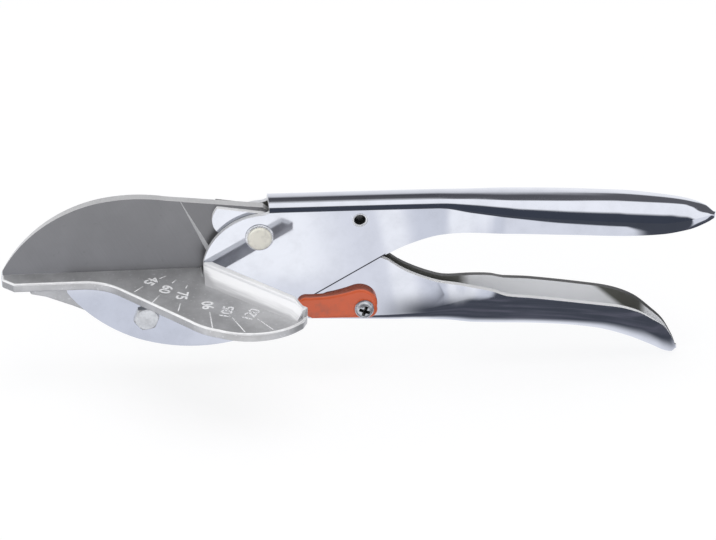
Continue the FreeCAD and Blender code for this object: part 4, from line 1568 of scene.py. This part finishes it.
    def ease(self, mesh: BMesh, finish: int, width: float,
             wanted: Callable[[BMEdge], bool]) -> None:
        """Round the sharp outward edges that are wanted.

        Args:
            mesh: The casting.
            finish: Number of the rounding's finish, or -1 to take the neighbours'.
            width: Width of the rounding, in millimetres.
            wanted: Tells which edges.
        """
        sharp = [edge for edge in mesh.edges if len(edge.link_faces) == 2
                 and edge.calc_face_angle_signed() > math.radians(self.sharp) and wanted(edge)]
        bmesh.ops.bevel(mesh, geom=sharp, offset=width * MM, segments=3, profile=0.5, affect="EDGES",
                        material=finish, clamp_overlap=True)
        bmesh.ops.recalc_face_normals(mesh, faces=mesh.faces)

    def scale_lines(self) -> bpy.types.Object:
        """The scale's lines, thin coats of paint on the table.

        Returns:
            The piece.
        """
        mesh = bmesh.new()
        for x0, d0, x1, d1 in (*self.lines, *self.dashes):
            start, end = Vector((x0, -d0, self.paint / 2)), Vector((x1, -d1, self.paint / 2))
            run = end - start
            turn = Matrix.Rotation(math.atan2(run.y, run.x), 4, "Z")
            size = Matrix.Diagonal((run.length, self.line_width, self.paint, 1.0))
            spot = Matrix.Translation((start + end) / 2)
            bmesh.ops.create_cube(mesh, size=1.0, matrix=spot @ turn @ size)
        return finished("scale_lines", mesh, SCALE_WHITE, Body.ANVIL)

    def scale_numbers(self) -> list[bpy.types.Object]:
        """The angle numbers, each written along its line.

        Returns:
            The pieces.
        """
        pieces = []
        for text, x, d, turn in self.numbers:
            curve = bpy.data.curves.new(f"number_{text}", "FONT")
            curve.body = text
            curve.size = self.digit_size
            curve.bevel_depth = self.digit_weight
            curve.bevel_resolution = 0
            curve.align_x = "CENTER"
            curve.align_y = "CENTER"
            data = meshed(curve)
            flatten = Matrix.Diagonal((1.0, 1.0, self.paint / 2 / self.digit_weight, 1.0))
            spot = Matrix.Translation((x, -d, self.paint / 2))
            data.transform(spot @ Matrix.Rotation(math.radians(turn), 4, "Z") @ flatten)
            paint = SCALE_FAINT if text in self.faint else SCALE_WHITE
            pieces.append(finished(f"scale_number_{text}", data, paint, Body.ANVIL))
        return pieces


# ---------------------------------------------------------------- fasteners


@dataclass
class HexFastener:
    """A hexagonal head or nut with chamfered corners, with or without a shank or a hole."""

    name: str
    node: str
    body: Body
    finish: Finish
    centre: Place
    flats: float
    near: float
    far: float
    chamfer: float = 0.5
    bore: float = 0.0
    shank: tuple[float, float, float] | None = None
    shank_chamfer: float = 0.5
    turn: float = 0.0
    land: float = 0.1
    margin: float = 0.05
    overcut: float = 1.0
    edge_round: float = 0.12

    def build(self) -> bpy.types.Object:
        """Cut the chamfers, the bore or add the shank.

        Returns:
            The piece.
        """
        corner, cut = self.flats / math.sqrt(3), self.chamfer
        low, high = self.flats / 2 - self.land, corner + self.margin
        block = prism(6, corner, self.centre, self.near, self.far, self.turn)
        blank = turned([(0, self.near), (low, self.near), (high, self.near + cut), (high, self.far - cut),
                        (low, self.far), (0, self.far)], self.centre, 72)
        mesh = combined(self.name, block, blank, "INTERSECT")
        if self.bore:
            start, end = self.near - self.overcut, self.far + self.overcut
            drill = turned([(0, start), (self.bore, start), (self.bore, end), (0, end)], self.centre)
            mesh = combined(self.name, mesh, drill, "DIFFERENCE")
        if self.shank:
            radius, start, end = self.shank
            cut = self.shank_chamfer
            rod = turned([(0, start), (radius, start), (radius, end - cut), (radius - cut, end), (0, end)],
                         self.centre)
            mesh = combined(self.name, mesh, rod, "UNION")
        piece = finished(self.name, mesh, self.finish, self.body, [self.node])
        return softened(piece, self.edge_round, 2, 24.0)


@dataclass
class Fasteners:
    """Pivot, table bolt, hollow pin, latch screw and their nuts and rings."""

    ring_height: float = 0.8
    nut_height: float = 4.0
    stickout: float = 1.2
    pivot_radius: float = 3.5
    pivot_chamfer: float = 0.5
    pivot_head: tuple[Place, ...] = ((0, 1.42), (2.2, 1.38), (3.5, 1.24), (4.05, 1.0), (4.3, 0.6), (4.3, 0))
    near_ring: tuple[Place, ...] = ((4.5, 0), (4.85, 0.12), (5.05, 0.4))
    far_ring: tuple[Place, ...] = ((5.7, 0), (6.05, 0.3))
    pivot_flats: float = 10.0
    table_flats: float = 8.0
    table_head: float = 3.3
    table_radius: float = 2.5
    tube_mouth: tuple[Place, ...] = ((1.95, 0.35), (2.25, 0), (2.62, 0), (PIN_RADIUS, 0.08))
    tube_bore: float = 2.05
    latch_seat: float = OUTER_FACE + 0.15 + 2.7 + 0.05  # gap, nose plate and play
    screw_head: tuple[Place, ...] = ((0, 0), (1.5, 0.05), (2.5, 0.3), (3.1, 0.8))
    screw_rim: tuple[Place, ...] = ((3.35, 0.7), (3.35, 0))
    screw_height: float = 2.2
    screw_radius: float = 2.0
    screw_chamfer: float = 0.4
    screw_round: float = 0.08
    wing: tuple[float, float, float] = (1.2, 5.0, 3.4)
    wing_width: float = 0.28
    recess: float = 2.45
    recess_skin: float = 0.32
    recess_floor: float = 0.05
    latch_nut_height: float = 3.2
    latch_flats: float = 7.0

    def build(self) -> list[bpy.types.Object]:
        """Make all of them.

        Returns:
            The pieces.
        """
        return [*self.pivot(), *self.table_bolt(), self.hollow_pin(), *self.latch_screw()]

    def pivot(self) -> list[bpy.types.Object]:
        """The main pivot with its rings and nut.

        Returns:
            The pieces.
        """
        seat, radius = OUTER_FACE + self.ring_height, self.pivot_radius
        end = seat + self.nut_height + self.stickout
        bolt = turned([*((out, -seat - high) for out, high in self.pivot_head), (radius, -seat),
                       (radius, end - self.pivot_chamfer), (radius - self.pivot_chamfer, end), (0, end)],
                      PIVOT)
        near = turned([(radius, -seat), *((out, -seat + low) for out, low in self.near_ring),
                       (self.near_ring[-1][0], -OUTER_FACE), (radius, -OUTER_FACE)], PIVOT)
        far = turned([(radius, seat), *((out, seat - low) for out, low in self.far_ring),
                      (self.far_ring[-1][0], OUTER_FACE), (radius, OUTER_FACE)], PIVOT)
        nut = HexFastener("pivot_hex_nut", "pivot_nut", Body.ANVIL, ZINC, PIVOT, self.pivot_flats, seat,
                          seat + self.nut_height, bore=radius, turn=14.0)
        return [
            finished("pivot_bolt_turned", bolt, PIVOT_FACE, Body.ANVIL, ["pivot_bolt"]),
            finished("pivot_near_ring", near, RING_CHROME, Body.ANVIL, ["pivot_near_washer"]),
            finished("pivot_far_ring", far, ZINC, Body.ANVIL, ["pivot_far_washer"]),
            nut.build(),
        ]

    def table_bolt(self) -> list[bpy.types.Object]:
        """The bolt that holds the table, and its nut.

        Returns:
            The pieces.
        """
        end = OUTER_FACE + self.nut_height + self.stickout
        bolt = HexFastener("table_hex_bolt", "table_bolt", Body.ANVIL, ZINC, TABLE_BOLT, self.table_flats,
                           -OUTER_FACE - self.table_head, -OUTER_FACE,
                           shank=(self.table_radius, -OUTER_FACE - 1, end), turn=20.0)
        nut = HexFastener("table_hex_nut", "table_nut", Body.ANVIL, ZINC, TABLE_BOLT, self.table_flats,
                          OUTER_FACE, OUTER_FACE + self.nut_height, bore=self.table_radius, turn=8.0)
        head = bolt.build()
        head.visible_glossy = False
        return [head, nut.build()]

    def hollow_pin(self) -> bpy.types.Object:
        """The tubular cross pin with its mouths eased.

        Returns:
            The piece.
        """
        tube = turned([*((out, low - OUTER_FACE) for out, low in self.tube_mouth),
                       *((out, OUTER_FACE - low) for out, low in reversed(self.tube_mouth))], CROSS_PIN)
        pin = finished("hollow_cross_pin", tube, RING_CHROME, Body.ANVIL, ["cross_pin"])
        # painted shade inside the pin's bore
        bore = also(pin, SHADED_RECESS)
        for face in pin.data.polygons:
            if self.away(face, CROSS_PIN) < self.tube_bore * MM:
                face.material_index = bore
        return pin

    @staticmethod
    def away(face: bpy.types.MeshPolygon, axis: Place) -> float:
        """How far a face's middle is from an axis along Y, in metres."""
        return math.hypot(face.center.x - axis[0] * MM, face.center.z - axis[1] * MM)

    def latch_screw(self) -> list[bpy.types.Object]:
        """The cross-head screw that the latch turns on, and its nut.

        Returns:
            The pieces.
        """
        seat, head, radius = self.latch_seat, self.screw_height, self.screw_radius
        end = INNER_FACE + self.latch_nut_height + self.stickout / 2
        screw = turned([*((out, -seat - head + low) for out, low in self.screw_head),
                        *((out, -seat - high) for out, high in self.screw_rim), (radius, -seat),
                        (radius, end - self.screw_chamfer), (radius - self.screw_chamfer, end), (0, end)],
                       LATCH_AXIS)
        small, large, painted_shade = self.wing
        for turn in (20.0, 110.0):
            wing = bmesh.new()
            spot = (Matrix.Translation((LATCH_AXIS[0], -seat - head, LATCH_AXIS[1]))
                    @ Matrix.Rotation(math.radians(turn), 4, "Y")
                    @ Matrix.Diagonal((1.0, 1.0, self.wing_width, 1.0))
                    @ Matrix.Rotation(math.radians(90), 4, "X") @ Matrix.Rotation(math.radians(45), 4, "Z"))
            bmesh.ops.create_cone(wing, cap_ends=True, segments=4, radius1=small, radius2=large, depth=painted_shade,
                                  matrix=spot)
            screw = combined("latch_screw_recess", screw, wing, "DIFFERENCE")
        piece = finished("latch_cross_screw", screw, SCREW_STEEL, Body.LEVER, ["latch_screw"])
        # painted shade inside the cross recess
        recess_shadow = also(piece, SHADED_RECESS)
        low, high = self.recess_skin - seat - head, -seat - self.recess_floor
        for face in piece.data.polygons:
            inside = self.away(face, LATCH_AXIS) < self.recess * MM
            if inside and low < face.center.y / MM < high:
                face.material_index = recess_shadow
        softened(piece, self.screw_round, 2, 35.0)
        nut = HexFastener("latch_hex_nut", "latch_nut", Body.LEVER, ZINC, LATCH_AXIS, self.latch_flats,
                          INNER_FACE, INNER_FACE + self.latch_nut_height, bore=radius, turn=11.0)
        return [piece, nut.build()]


# ---------------------------------------------------------------- latch and spring


@dataclass
class LatchLever:
    """Red latch: a nose over the cheek's face and a tooth behind it."""

    inside: float = 4.25
    lap_face: float = 6.0
    outside: float = 8.7
    overlap: float = 0.3
    face_round: float = 1.3
    edge_round: float = 0.4
    bore: float = 2.0 + 0.05 + 0.8  # screw, play and bush
    top_rise: float = 0.6
    top_turn: float = 0.5
    nose: tuple[Place, ...] = ((34.0, -13.2), (34.5, -10.0), (37.4, -9.0), (45.9, -8.6))
    tooth: tuple[Place, ...] = (
        (34.98, -13.3), (34.98, -11.37), (35.95, -11.37), (35.95, -12.7), (44.6, -9.3))
    tooth_back: Place = (49.3, -8.3)
    crest: Place = (53.6, -6.9)
    eye: tuple[Place, Place] = ((60.6, -8.7), (62.0, -14.2))
    heel: tuple[Place, Place] = ((61.5, -17.2), (59.2, -18.4))
    belly: tuple[Place, Place] = ((38.9, -17.9), (36.6, -16.4))

    def finish_outline(self, drawing: Drawing) -> Drawing:
        """Go on from the crest round the eye and back under the nose."""
        return drawing.arc(*self.eye).arc(*self.heel).line(*self.belly).close()

    def nose_plate(self) -> BMesh:
        """The plate over the cheek's face, its outer edges well rounded.

        Returns:
            Its mesh.
        """
        plate = bmesh.new()
        start, bend, brow, back = self.nose
        drawing = Drawing(plate, start, -self.outside).arc(bend, brow).arc(back, self.crest, 3.0)
        slab(plate, self.finish_outline(drawing), self.outside - self.lap_face)
        front = [edge for edge in plate.edges
                 if all(vertex.co.y < -self.outside + 0.01 for vertex in edge.verts)]
        bmesh.ops.bevel(plate, geom=front, offset=self.face_round, segments=5, profile=0.5,
                        affect="EDGES", material=-1)
        return plate

    def toothed_body(self) -> BMesh:
        """The thinner body behind it, with the tooth that holds in the catch.

        Returns:
            Its mesh.
        """
        body = bmesh.new()
        drawing = Drawing(body, self.tooth[0], -self.lap_face - self.overlap)
        drawing.line(*self.tooth[1:]).arc(self.tooth_back, self.crest, 3.0)
        slab(body, self.finish_outline(drawing), self.lap_face + self.overlap - self.inside)
        return body

    def build(self) -> bpy.types.Object:
        """Join the nose plate and the toothed body and round them.

        Returns:
            The piece.
        """
        mesh = combined("latch_union", self.nose_plate(), self.toothed_body(), "UNION")
        hole = prism(40, self.bore, LATCH_AXIS, -self.outside - 1, -self.inside + 1)
        mesh = combined("latch_hole", mesh, hole, "DIFFERENCE")
        piece = finished("latch_lever_enamelled", mesh, LATCH_RED, Body.LATCH, ["latch_lever"])
        piece.visible_glossy = False
        # faces turned up take the darker copy of the enamel: painted shade
        top = also(piece, LATCH_TOP_SHADE)
        for face in piece.data.polygons:
            if face.normal.z > self.top_rise and abs(face.normal.y) < self.top_turn:
                face.material_index = top
        return softened(piece, self.edge_round, 3, 40.0)


@dataclass
class HandleSpring:
    """Wire spring: a close coil round its post with two straight legs."""

    post: Place = (46.5, 0.5)
    wire: float = 0.45
    coil: float = 3.9
    turns: float = 2.0
    half_width: float = 1.15
    touch: float = 0.05
    overrun: float = 3.0
    chords: int = 40

    def leg(self, target: Place, reach: float, side: int) -> tuple[Vector, float]:
        """A leg that leaves the coil and passes its target.

        Args:
            target: What it presses on.
            reach: How far the wire's middle passes from it.
            side: Which way round.

        Returns:
            The leg's end and the angle at which it leaves the coil.
        """
        centre = Vector((self.post[0], 0, self.post[1]))
        offset = Vector((target[0], 0, target[1])) - centre
        heading = math.atan2(offset.z, offset.x) - side * math.asin((self.coil + reach) / offset.length)
        direction = Vector((math.cos(heading), 0, math.sin(heading)))
        angle = heading + side * math.pi / 2
        foot = centre + Vector((math.cos(angle), 0, math.sin(angle))) * self.coil
        end = foot + direction * ((centre + offset - foot).dot(direction) + self.overrun)
        return end, angle

    def build(self) -> bpy.types.Object:
        """Wind the wire.

        Returns:
            The piece.
        """
        upper, begin = self.leg(CROSS_PIN, PIN_RADIUS + self.touch + self.wire, 1)
        lower, finish = self.leg(LATCH_AXIS, SPACER_RADIUS + self.touch + self.wire, -1)
        turns = self.turns + (finish - begin) / FULL_TURN % 1
        path = [upper + Vector((0, self.half_width, 0))]
        steps = round(turns * self.chords)
        for index in range(steps + 1):
            share = index / steps
            angle = begin + FULL_TURN * turns * share
            path.append(Vector((self.post[0] + self.coil * math.cos(angle),
                                self.half_width * (1 - 2 * share),
                                self.post[1] + self.coil * math.sin(angle))))
        path.append(lower - Vector((0, self.half_width, 0)))
        curve = bpy.data.curves.new("spring_line", "CURVE")
        curve.dimensions = "3D"
        curve.bevel_depth = self.wire
        curve.bevel_resolution = 3
        curve.use_fill_caps = True
        line = curve.splines.new("POLY")
        line.points.add(len(path) - 1)
        for point, place in zip(line.points, path):
            point.co = (*place, 1.0)
        return finished("handle_wire_spring", meshed(curve), WIRE, Body.LEVER, ["handle_spring"])


@dataclass
class PlainFittings:
    """Turned parts inside the tool whose frame shapes are right as they are."""

    dress: dict[str, Finish] = field(default_factory=lambda: {
        "pivot_bush": BRONZE, "blade_rivet": BARE_STEEL, "spring_post": BARE_STEEL,
        "latch_spacer": BARE_STEEL, "latch_bush": BRONZE, "latch_washer": ZINC})

    def build(self) -> None:
        """Give each its material."""
        for name, finish in self.dress.items():
            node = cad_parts[name]
            for holder in node.material_slots:
                holder.material = finish.material()
            log.info("%s: kept from the frame, %s", name, finish.name)


# ---------------------------------------------------------------- studio


@dataclass(frozen=True)
class MirroredFloor:
    """What the metal mirrors of the floor, painted by place: a painted shadow under the tool, dark far in
    front and at the grips' end.

    Each span is the stretch in metres, along X or Y, over which a zone comes in or goes out.
    """

    edge: Span = (0.160, 0.190)
    edge_lean: float = 0.93
    far: Span = (-0.21, -0.155)
    beside: Span = (0.172, 0.186)
    wide: Span = (-0.060, -0.042)
    wide_from: Span = (0.060, 0.085)
    widening: float = 0.035
    widening_from: Span = (0.087, 0.098)
    strip: Span = (-0.030, -0.022)
    under_end: Span = (-0.011, 0.001)
    lip: float = 0.004
    lip_from: Span = (0.125, 0.150)
    lip_back: float = 0.006
    lip_end: Span = (0.160, 0.172)
    front: Span = (-0.085, -0.062)
    front_end: Span = (0.040, 0.066)
    flare: Span = (0.0715, 0.0755)
    flare_end: Span = (0.080, 0.085)
    flare_share: float = 0.8
    jaw_end: Span = (-0.010, 0.020)
    neck: Span = (0.083, 0.088)
    neck_end: Span = (0.094, 0.102)
    neck_share: float = 0.9
    pool: Colour = (0.93, 0.94, 0.985)
    bright: Colour = (1.2, 1.2, 1.2)
    dim: Colour = (0.80, 0.82, 0.88)
    navy: Colour = (0.058, 0.065, 0.083)
    streak: Colour = (0.12, 0.12, 0.15)
    streak_scale: tuple[float, float, float] = (22.0, 110.0, 1.0)
    streak_share: Span = (0.42, 0.72)

    def under(self, along: Signal, across: Signal) -> Signal:
        """The painted shadow right under the tool, wider below the grips.

        Args:
            along: The place's X.
            across: The place's Y.

        Returns:
            One in the dark, nought outside it.
        """
        wide = (across + self.widening * along.span(*self.widening_from)).span(*self.wide)
        wide = wide * along.span(*self.wide_from)
        lip = self.lip * along.span(*self.lip_from) - self.lip_back * along.span(*self.lip_end)
        return wide.most(across.span(*self.strip)) * (1.0 - (across + lip).span(*self.under_end))

    def light(self, shader: Shader, along: Signal, across: Signal) -> Signal:
        """The light tones: a pool, brighter in front and at the flare, dimmer at jaw and neck.

        Args:
            shader: The writer of the floor's material.
            along: The place's X.
            across: The place's Y.

        Returns:
            The colour.
        """
        front = (1.0 - across.span(*self.front)) * (1.0 - along.span(*self.front_end))
        flare = along.span(*self.flare) * (1.0 - along.span(*self.flare_end)) * self.flare_share
        jaw = (1.0 - along.span(*self.jaw_end)) * across.span(*self.front)
        neck = along.span(*self.neck) * (1.0 - along.span(*self.neck_end)) * self.neck_share
        return shader.blend(jaw.most(neck), shader.blend(front.most(flare), self.pool, self.bright),
                            self.dim)

    def tone(self, shader: Shader) -> Signal:
        """The colour of the floor as a mirror sees it.

        Args:
            shader: The writer of the floor's material.

        Returns:
            The colour.
        """
        along, across = shader.axis("X"), shader.axis("Y")
        edge = 1.0 - (along + self.edge_lean * across).span(*self.edge)
        far = (1.0 - across.span(*self.far)) * edge
        beside = along.span(*self.beside) * edge
        under = self.under(along, across)
        streaks = shader.noise(1.0, 3.0, 0.55, shader.stretched(self.streak_scale))
        depth = shader.blend(streaks.span(*self.streak_share) * under, self.navy, self.streak)
        return shader.blend(far.most(under).most(beside), self.light(shader, along, across), depth)


@dataclass(frozen=True)
class MirroredRoom:
    """What the metal mirrors of the room: bands round the X axis, by their angle in degrees.

    The twist shifts the bands, each entry by so many degrees from its low to its high value of the
    heading's X. The other spans are of a share of the full turn or of the heading's X.
    """

    bands: tuple[tuple[float, Colour], ...] = (
        (-180.0, (0.95, 0.96, 1.0)), (-24.0, (0.95, 0.96, 1.0)), (-17.0, (0.061, 0.070, 0.094)),
        (50.0, (0.061, 0.070, 0.094)), (61.0, (1.25, 1.25, 1.27)), (129.0, (1.27, 1.27, 1.29)),
        (136.0, (0.13, 0.13, 0.14)), (149.5, (0.085, 0.085, 0.098)), (156.0, (0.85, 0.85, 0.88)),
        (175.0, (1.15, 1.15, 1.17)), (180.0, (1.15, 1.15, 1.17)))
    twist: tuple[tuple[float, float, float], ...] = (
        (0.09, 0.24, 20.0), (0.45, 0.58, 12.0), (0.55, 0.90, 50.0))
    crown: Span = (0.917, 0.936)
    crown_end: Span = (0.36, 0.48)
    end: Span = (0.845, 0.875)
    end_from: Span = (0.10, 0.20)
    end_colour: Colour = (0.115, 0.115, 0.125)
    aside: Span = (0.55, 0.77)
    aside_colour: Colour = (0.98, 0.98, 1.0)

    def strength(self) -> float:
        """The brightest channel, since a ramp holds no more than one."""
        return max(max(colour) for _, colour in self.bands)

    def tone(self, shader: Shader) -> Signal:
        """The colour of the room as a mirror sees it, to be made as strong as strength() says.

        Args:
            shader: The writer of the world.

        Returns:
            The colour.
        """
        heading = shader.node("ShaderNodeTexCoord", output="Generated")
        side, y, z = (shader.axis(name, heading) for name in "XYZ")
        tilt = shader.node("ShaderNodeMath", {"operation": "ARCTAN2"}, {0: z, 1: -1.0 * y})
        height = tilt / FULL_TURN + 0.5
        level = height + sum((degrees / 360.0 * side.span(low, high)
                              for low, high, degrees in self.twist), 0.0)
        top = self.strength()
        stops = [((angle + 180.0) / 360.0, tuple(channel / top for channel in colour))
                 for angle, colour in self.bands]
        ramp = shader.node("ShaderNodeValToRGB", {"stops": stops}, {0: level})
        crown = height.span(*self.crown) * (1.0 - side.span(*self.crown_end))
        end = side.span(*self.end_from) * level.span(*self.end) * (1.0 - crown)
        aside = (-1.0 * side).span(*self.aside)
        return shader.blend(aside, shader.blend(end, ramp, self.end_colour), self.aside_colour)


@dataclass
class Studio:
    """Pale floor, soft light, what the metal mirrors, and the camera."""

    azimuth: float = -5.46
    elevation: float = 29.2
    roll: float = 0.48
    distance: float = 2.8
    frame_width: float = 252.1
    centre_right: float = 55.63
    centre_up: float = -0.88
    sensor: float = 36.0
    clip: Span = (0.05, 50.0)
    floor_size: float = 6.0
    paper: Colour = (0.88, 0.88, 0.89)
    glow: float = 1.1
    glow_seen: float = 0.72
    glow_mirrored: float = 0.26
    sky: Colour = (0.97, 0.98, 1.0)
    sky_strength: float = 0.62
    white: Colour = (1.0, 1.0, 1.0)
    lamps: tuple[tuple[str, tuple[float, float, float], float, float], ...] = (
        ("overhead_softbox", (0.15, -0.1, 1.3), 1.1, 5.0),
        ("front_softbox", (-0.5, -1.3, 0.8), 0.9, 2.2),
        ("low_softbox", (-1.1, -1.0, 0.35), 0.8, 3.0))

    def build(self) -> None:
        """Set up the scene."""
        scene = bpy.context.scene
        scene.view_settings.view_transform = "Standard"
        self.floor()
        self.world(scene)
        for name, place, size, power in self.lamps:
            self.lamp(name, place, size, power)
        self.camera(scene)

    def floor(self) -> None:
        """A pale floor under the tool that keeps its shadow; metal mirrors it in its own tones."""
        low = CAD_BOX[0].z
        mesh = bmesh.new()
        bmesh.ops.create_grid(mesh, x_segments=8, y_segments=8, size=self.floor_size / 2,
                              matrix=Matrix.Translation((0, 0, low)))
        floor = bpy.data.objects.new("studio_floor", to_mesh("studio_floor", mesh))
        bpy.context.scene.collection.objects.link(floor)
        material = bpy.data.materials.new("studio_paper")
        material.use_nodes = True
        shader = Shader(material.node_tree)
        mirrored = shader.ray("Glossy")
        seen = shader.ray("Camera").most(mirrored).most(shader.ray("Transmission"))
        tone = shader.blend(mirrored, self.white, MirroredFloor().tone(shader))
        paper = shader.node("ShaderNodeBsdfDiffuse", {}, {"Color": opaque(self.paper)})
        glow = shader.node("ShaderNodeEmission", {}, {"Color": tone, "Strength": self.glow})
        share = seen * self.glow_seen + mirrored * self.glow_mirrored
        surface = shader.node("ShaderNodeMixShader", {}, {0: share, 1: paper, 2: glow})
        shader.node("ShaderNodeOutputMaterial", {}, {"Surface": surface})
        floor.data.materials.append(material)

    def world(self, scene: bpy.types.Scene) -> None:
        """White behind the object, plain light on it, and bands of a studio for what is mirrored.

        Args:
            scene: The scene that it is for.
        """
        world = bpy.data.worlds.new("studio_room")
        world.use_nodes = True
        scene.world = world
        shader = Shader(world.node_tree)
        room = MirroredRoom()
        straight = shader.ray("Camera").most(shader.ray("Transmission"))
        plain = shader.node("ShaderNodeMixShader", {},
                            {0: straight, 1: shader.background(self.sky, self.sky_strength),
                             2: shader.background(self.white, 1.0)})
        bands = shader.background(room.tone(shader), room.strength())
        shader.node("ShaderNodeOutputWorld", {},
                    {"Surface": shader.node("ShaderNodeMixShader", {},
                                            {0: shader.ray("Glossy"), 1: plain, 2: bands})})

    @staticmethod
    def lamp(name: str, place: tuple[float, float, float], size: float, power: float) -> None:
        """A square soft lamp that looks at the tool.

        Args:
            name: The lamp's name.
            place: Where it hangs, in metres.
            size: Length of its side.
            power: Its power in watts.
        """
        light = bpy.data.lights.new(name, "AREA")
        light.size = size
        light.energy = power
        holder = bpy.data.objects.new(name, light)
        holder.location = place
        holder.rotation_euler = (Vector((0.05, 0, 0)) - Vector(place)).to_track_quat("-Z", "Y").to_euler()
        holder.visible_glossy = False
        holder.visible_camera = False
        bpy.context.scene.collection.objects.link(holder)

    def camera(self, scene: bpy.types.Scene) -> None:
        """A long lens, well away, that looks down on the near cheek.

        Args:
            scene: The scene that it is for.
        """
        turn, rise = math.radians(self.azimuth), math.radians(self.elevation)
        back = Vector((math.sin(turn) * math.cos(rise), -math.cos(turn) * math.cos(rise), math.sin(rise)))
        level = Vector((math.cos(turn), math.sin(turn), 0))
        right = Matrix.Rotation(math.radians(self.roll), 3, back) @ level
        up = back.cross(right)
        data = bpy.data.cameras.new("studio_camera")
        data.sensor_width = self.sensor
        data.lens = data.sensor_width * self.distance / (self.frame_width * MM)
        data.clip_start, data.clip_end = self.clip
        camera = bpy.data.objects.new("studio_camera", data)
        camera.location = (right * self.centre_right + up * self.centre_up) * MM + back * self.distance
        camera.rotation_mode = "QUATERNION"
        camera.rotation_quaternion = Matrix((right, up, back)).transposed().to_quaternion()
        scene.collection.objects.link(camera)
        scene.camera = camera


def main() -> None:
    """Build every piece in order."""
    logging.basicConfig(level=logging.INFO, format="%(name)s: %(message)s")
    AnvilHandle().build()
    BladeHandle().build()
    KnifeBlade().build()
    MitreTable().build()
    Fasteners().build()
    LatchLever().build()
    HandleSpring().build()
    PlainFittings().build()
    Studio().build()


if __name__ == "__main__":
    main()
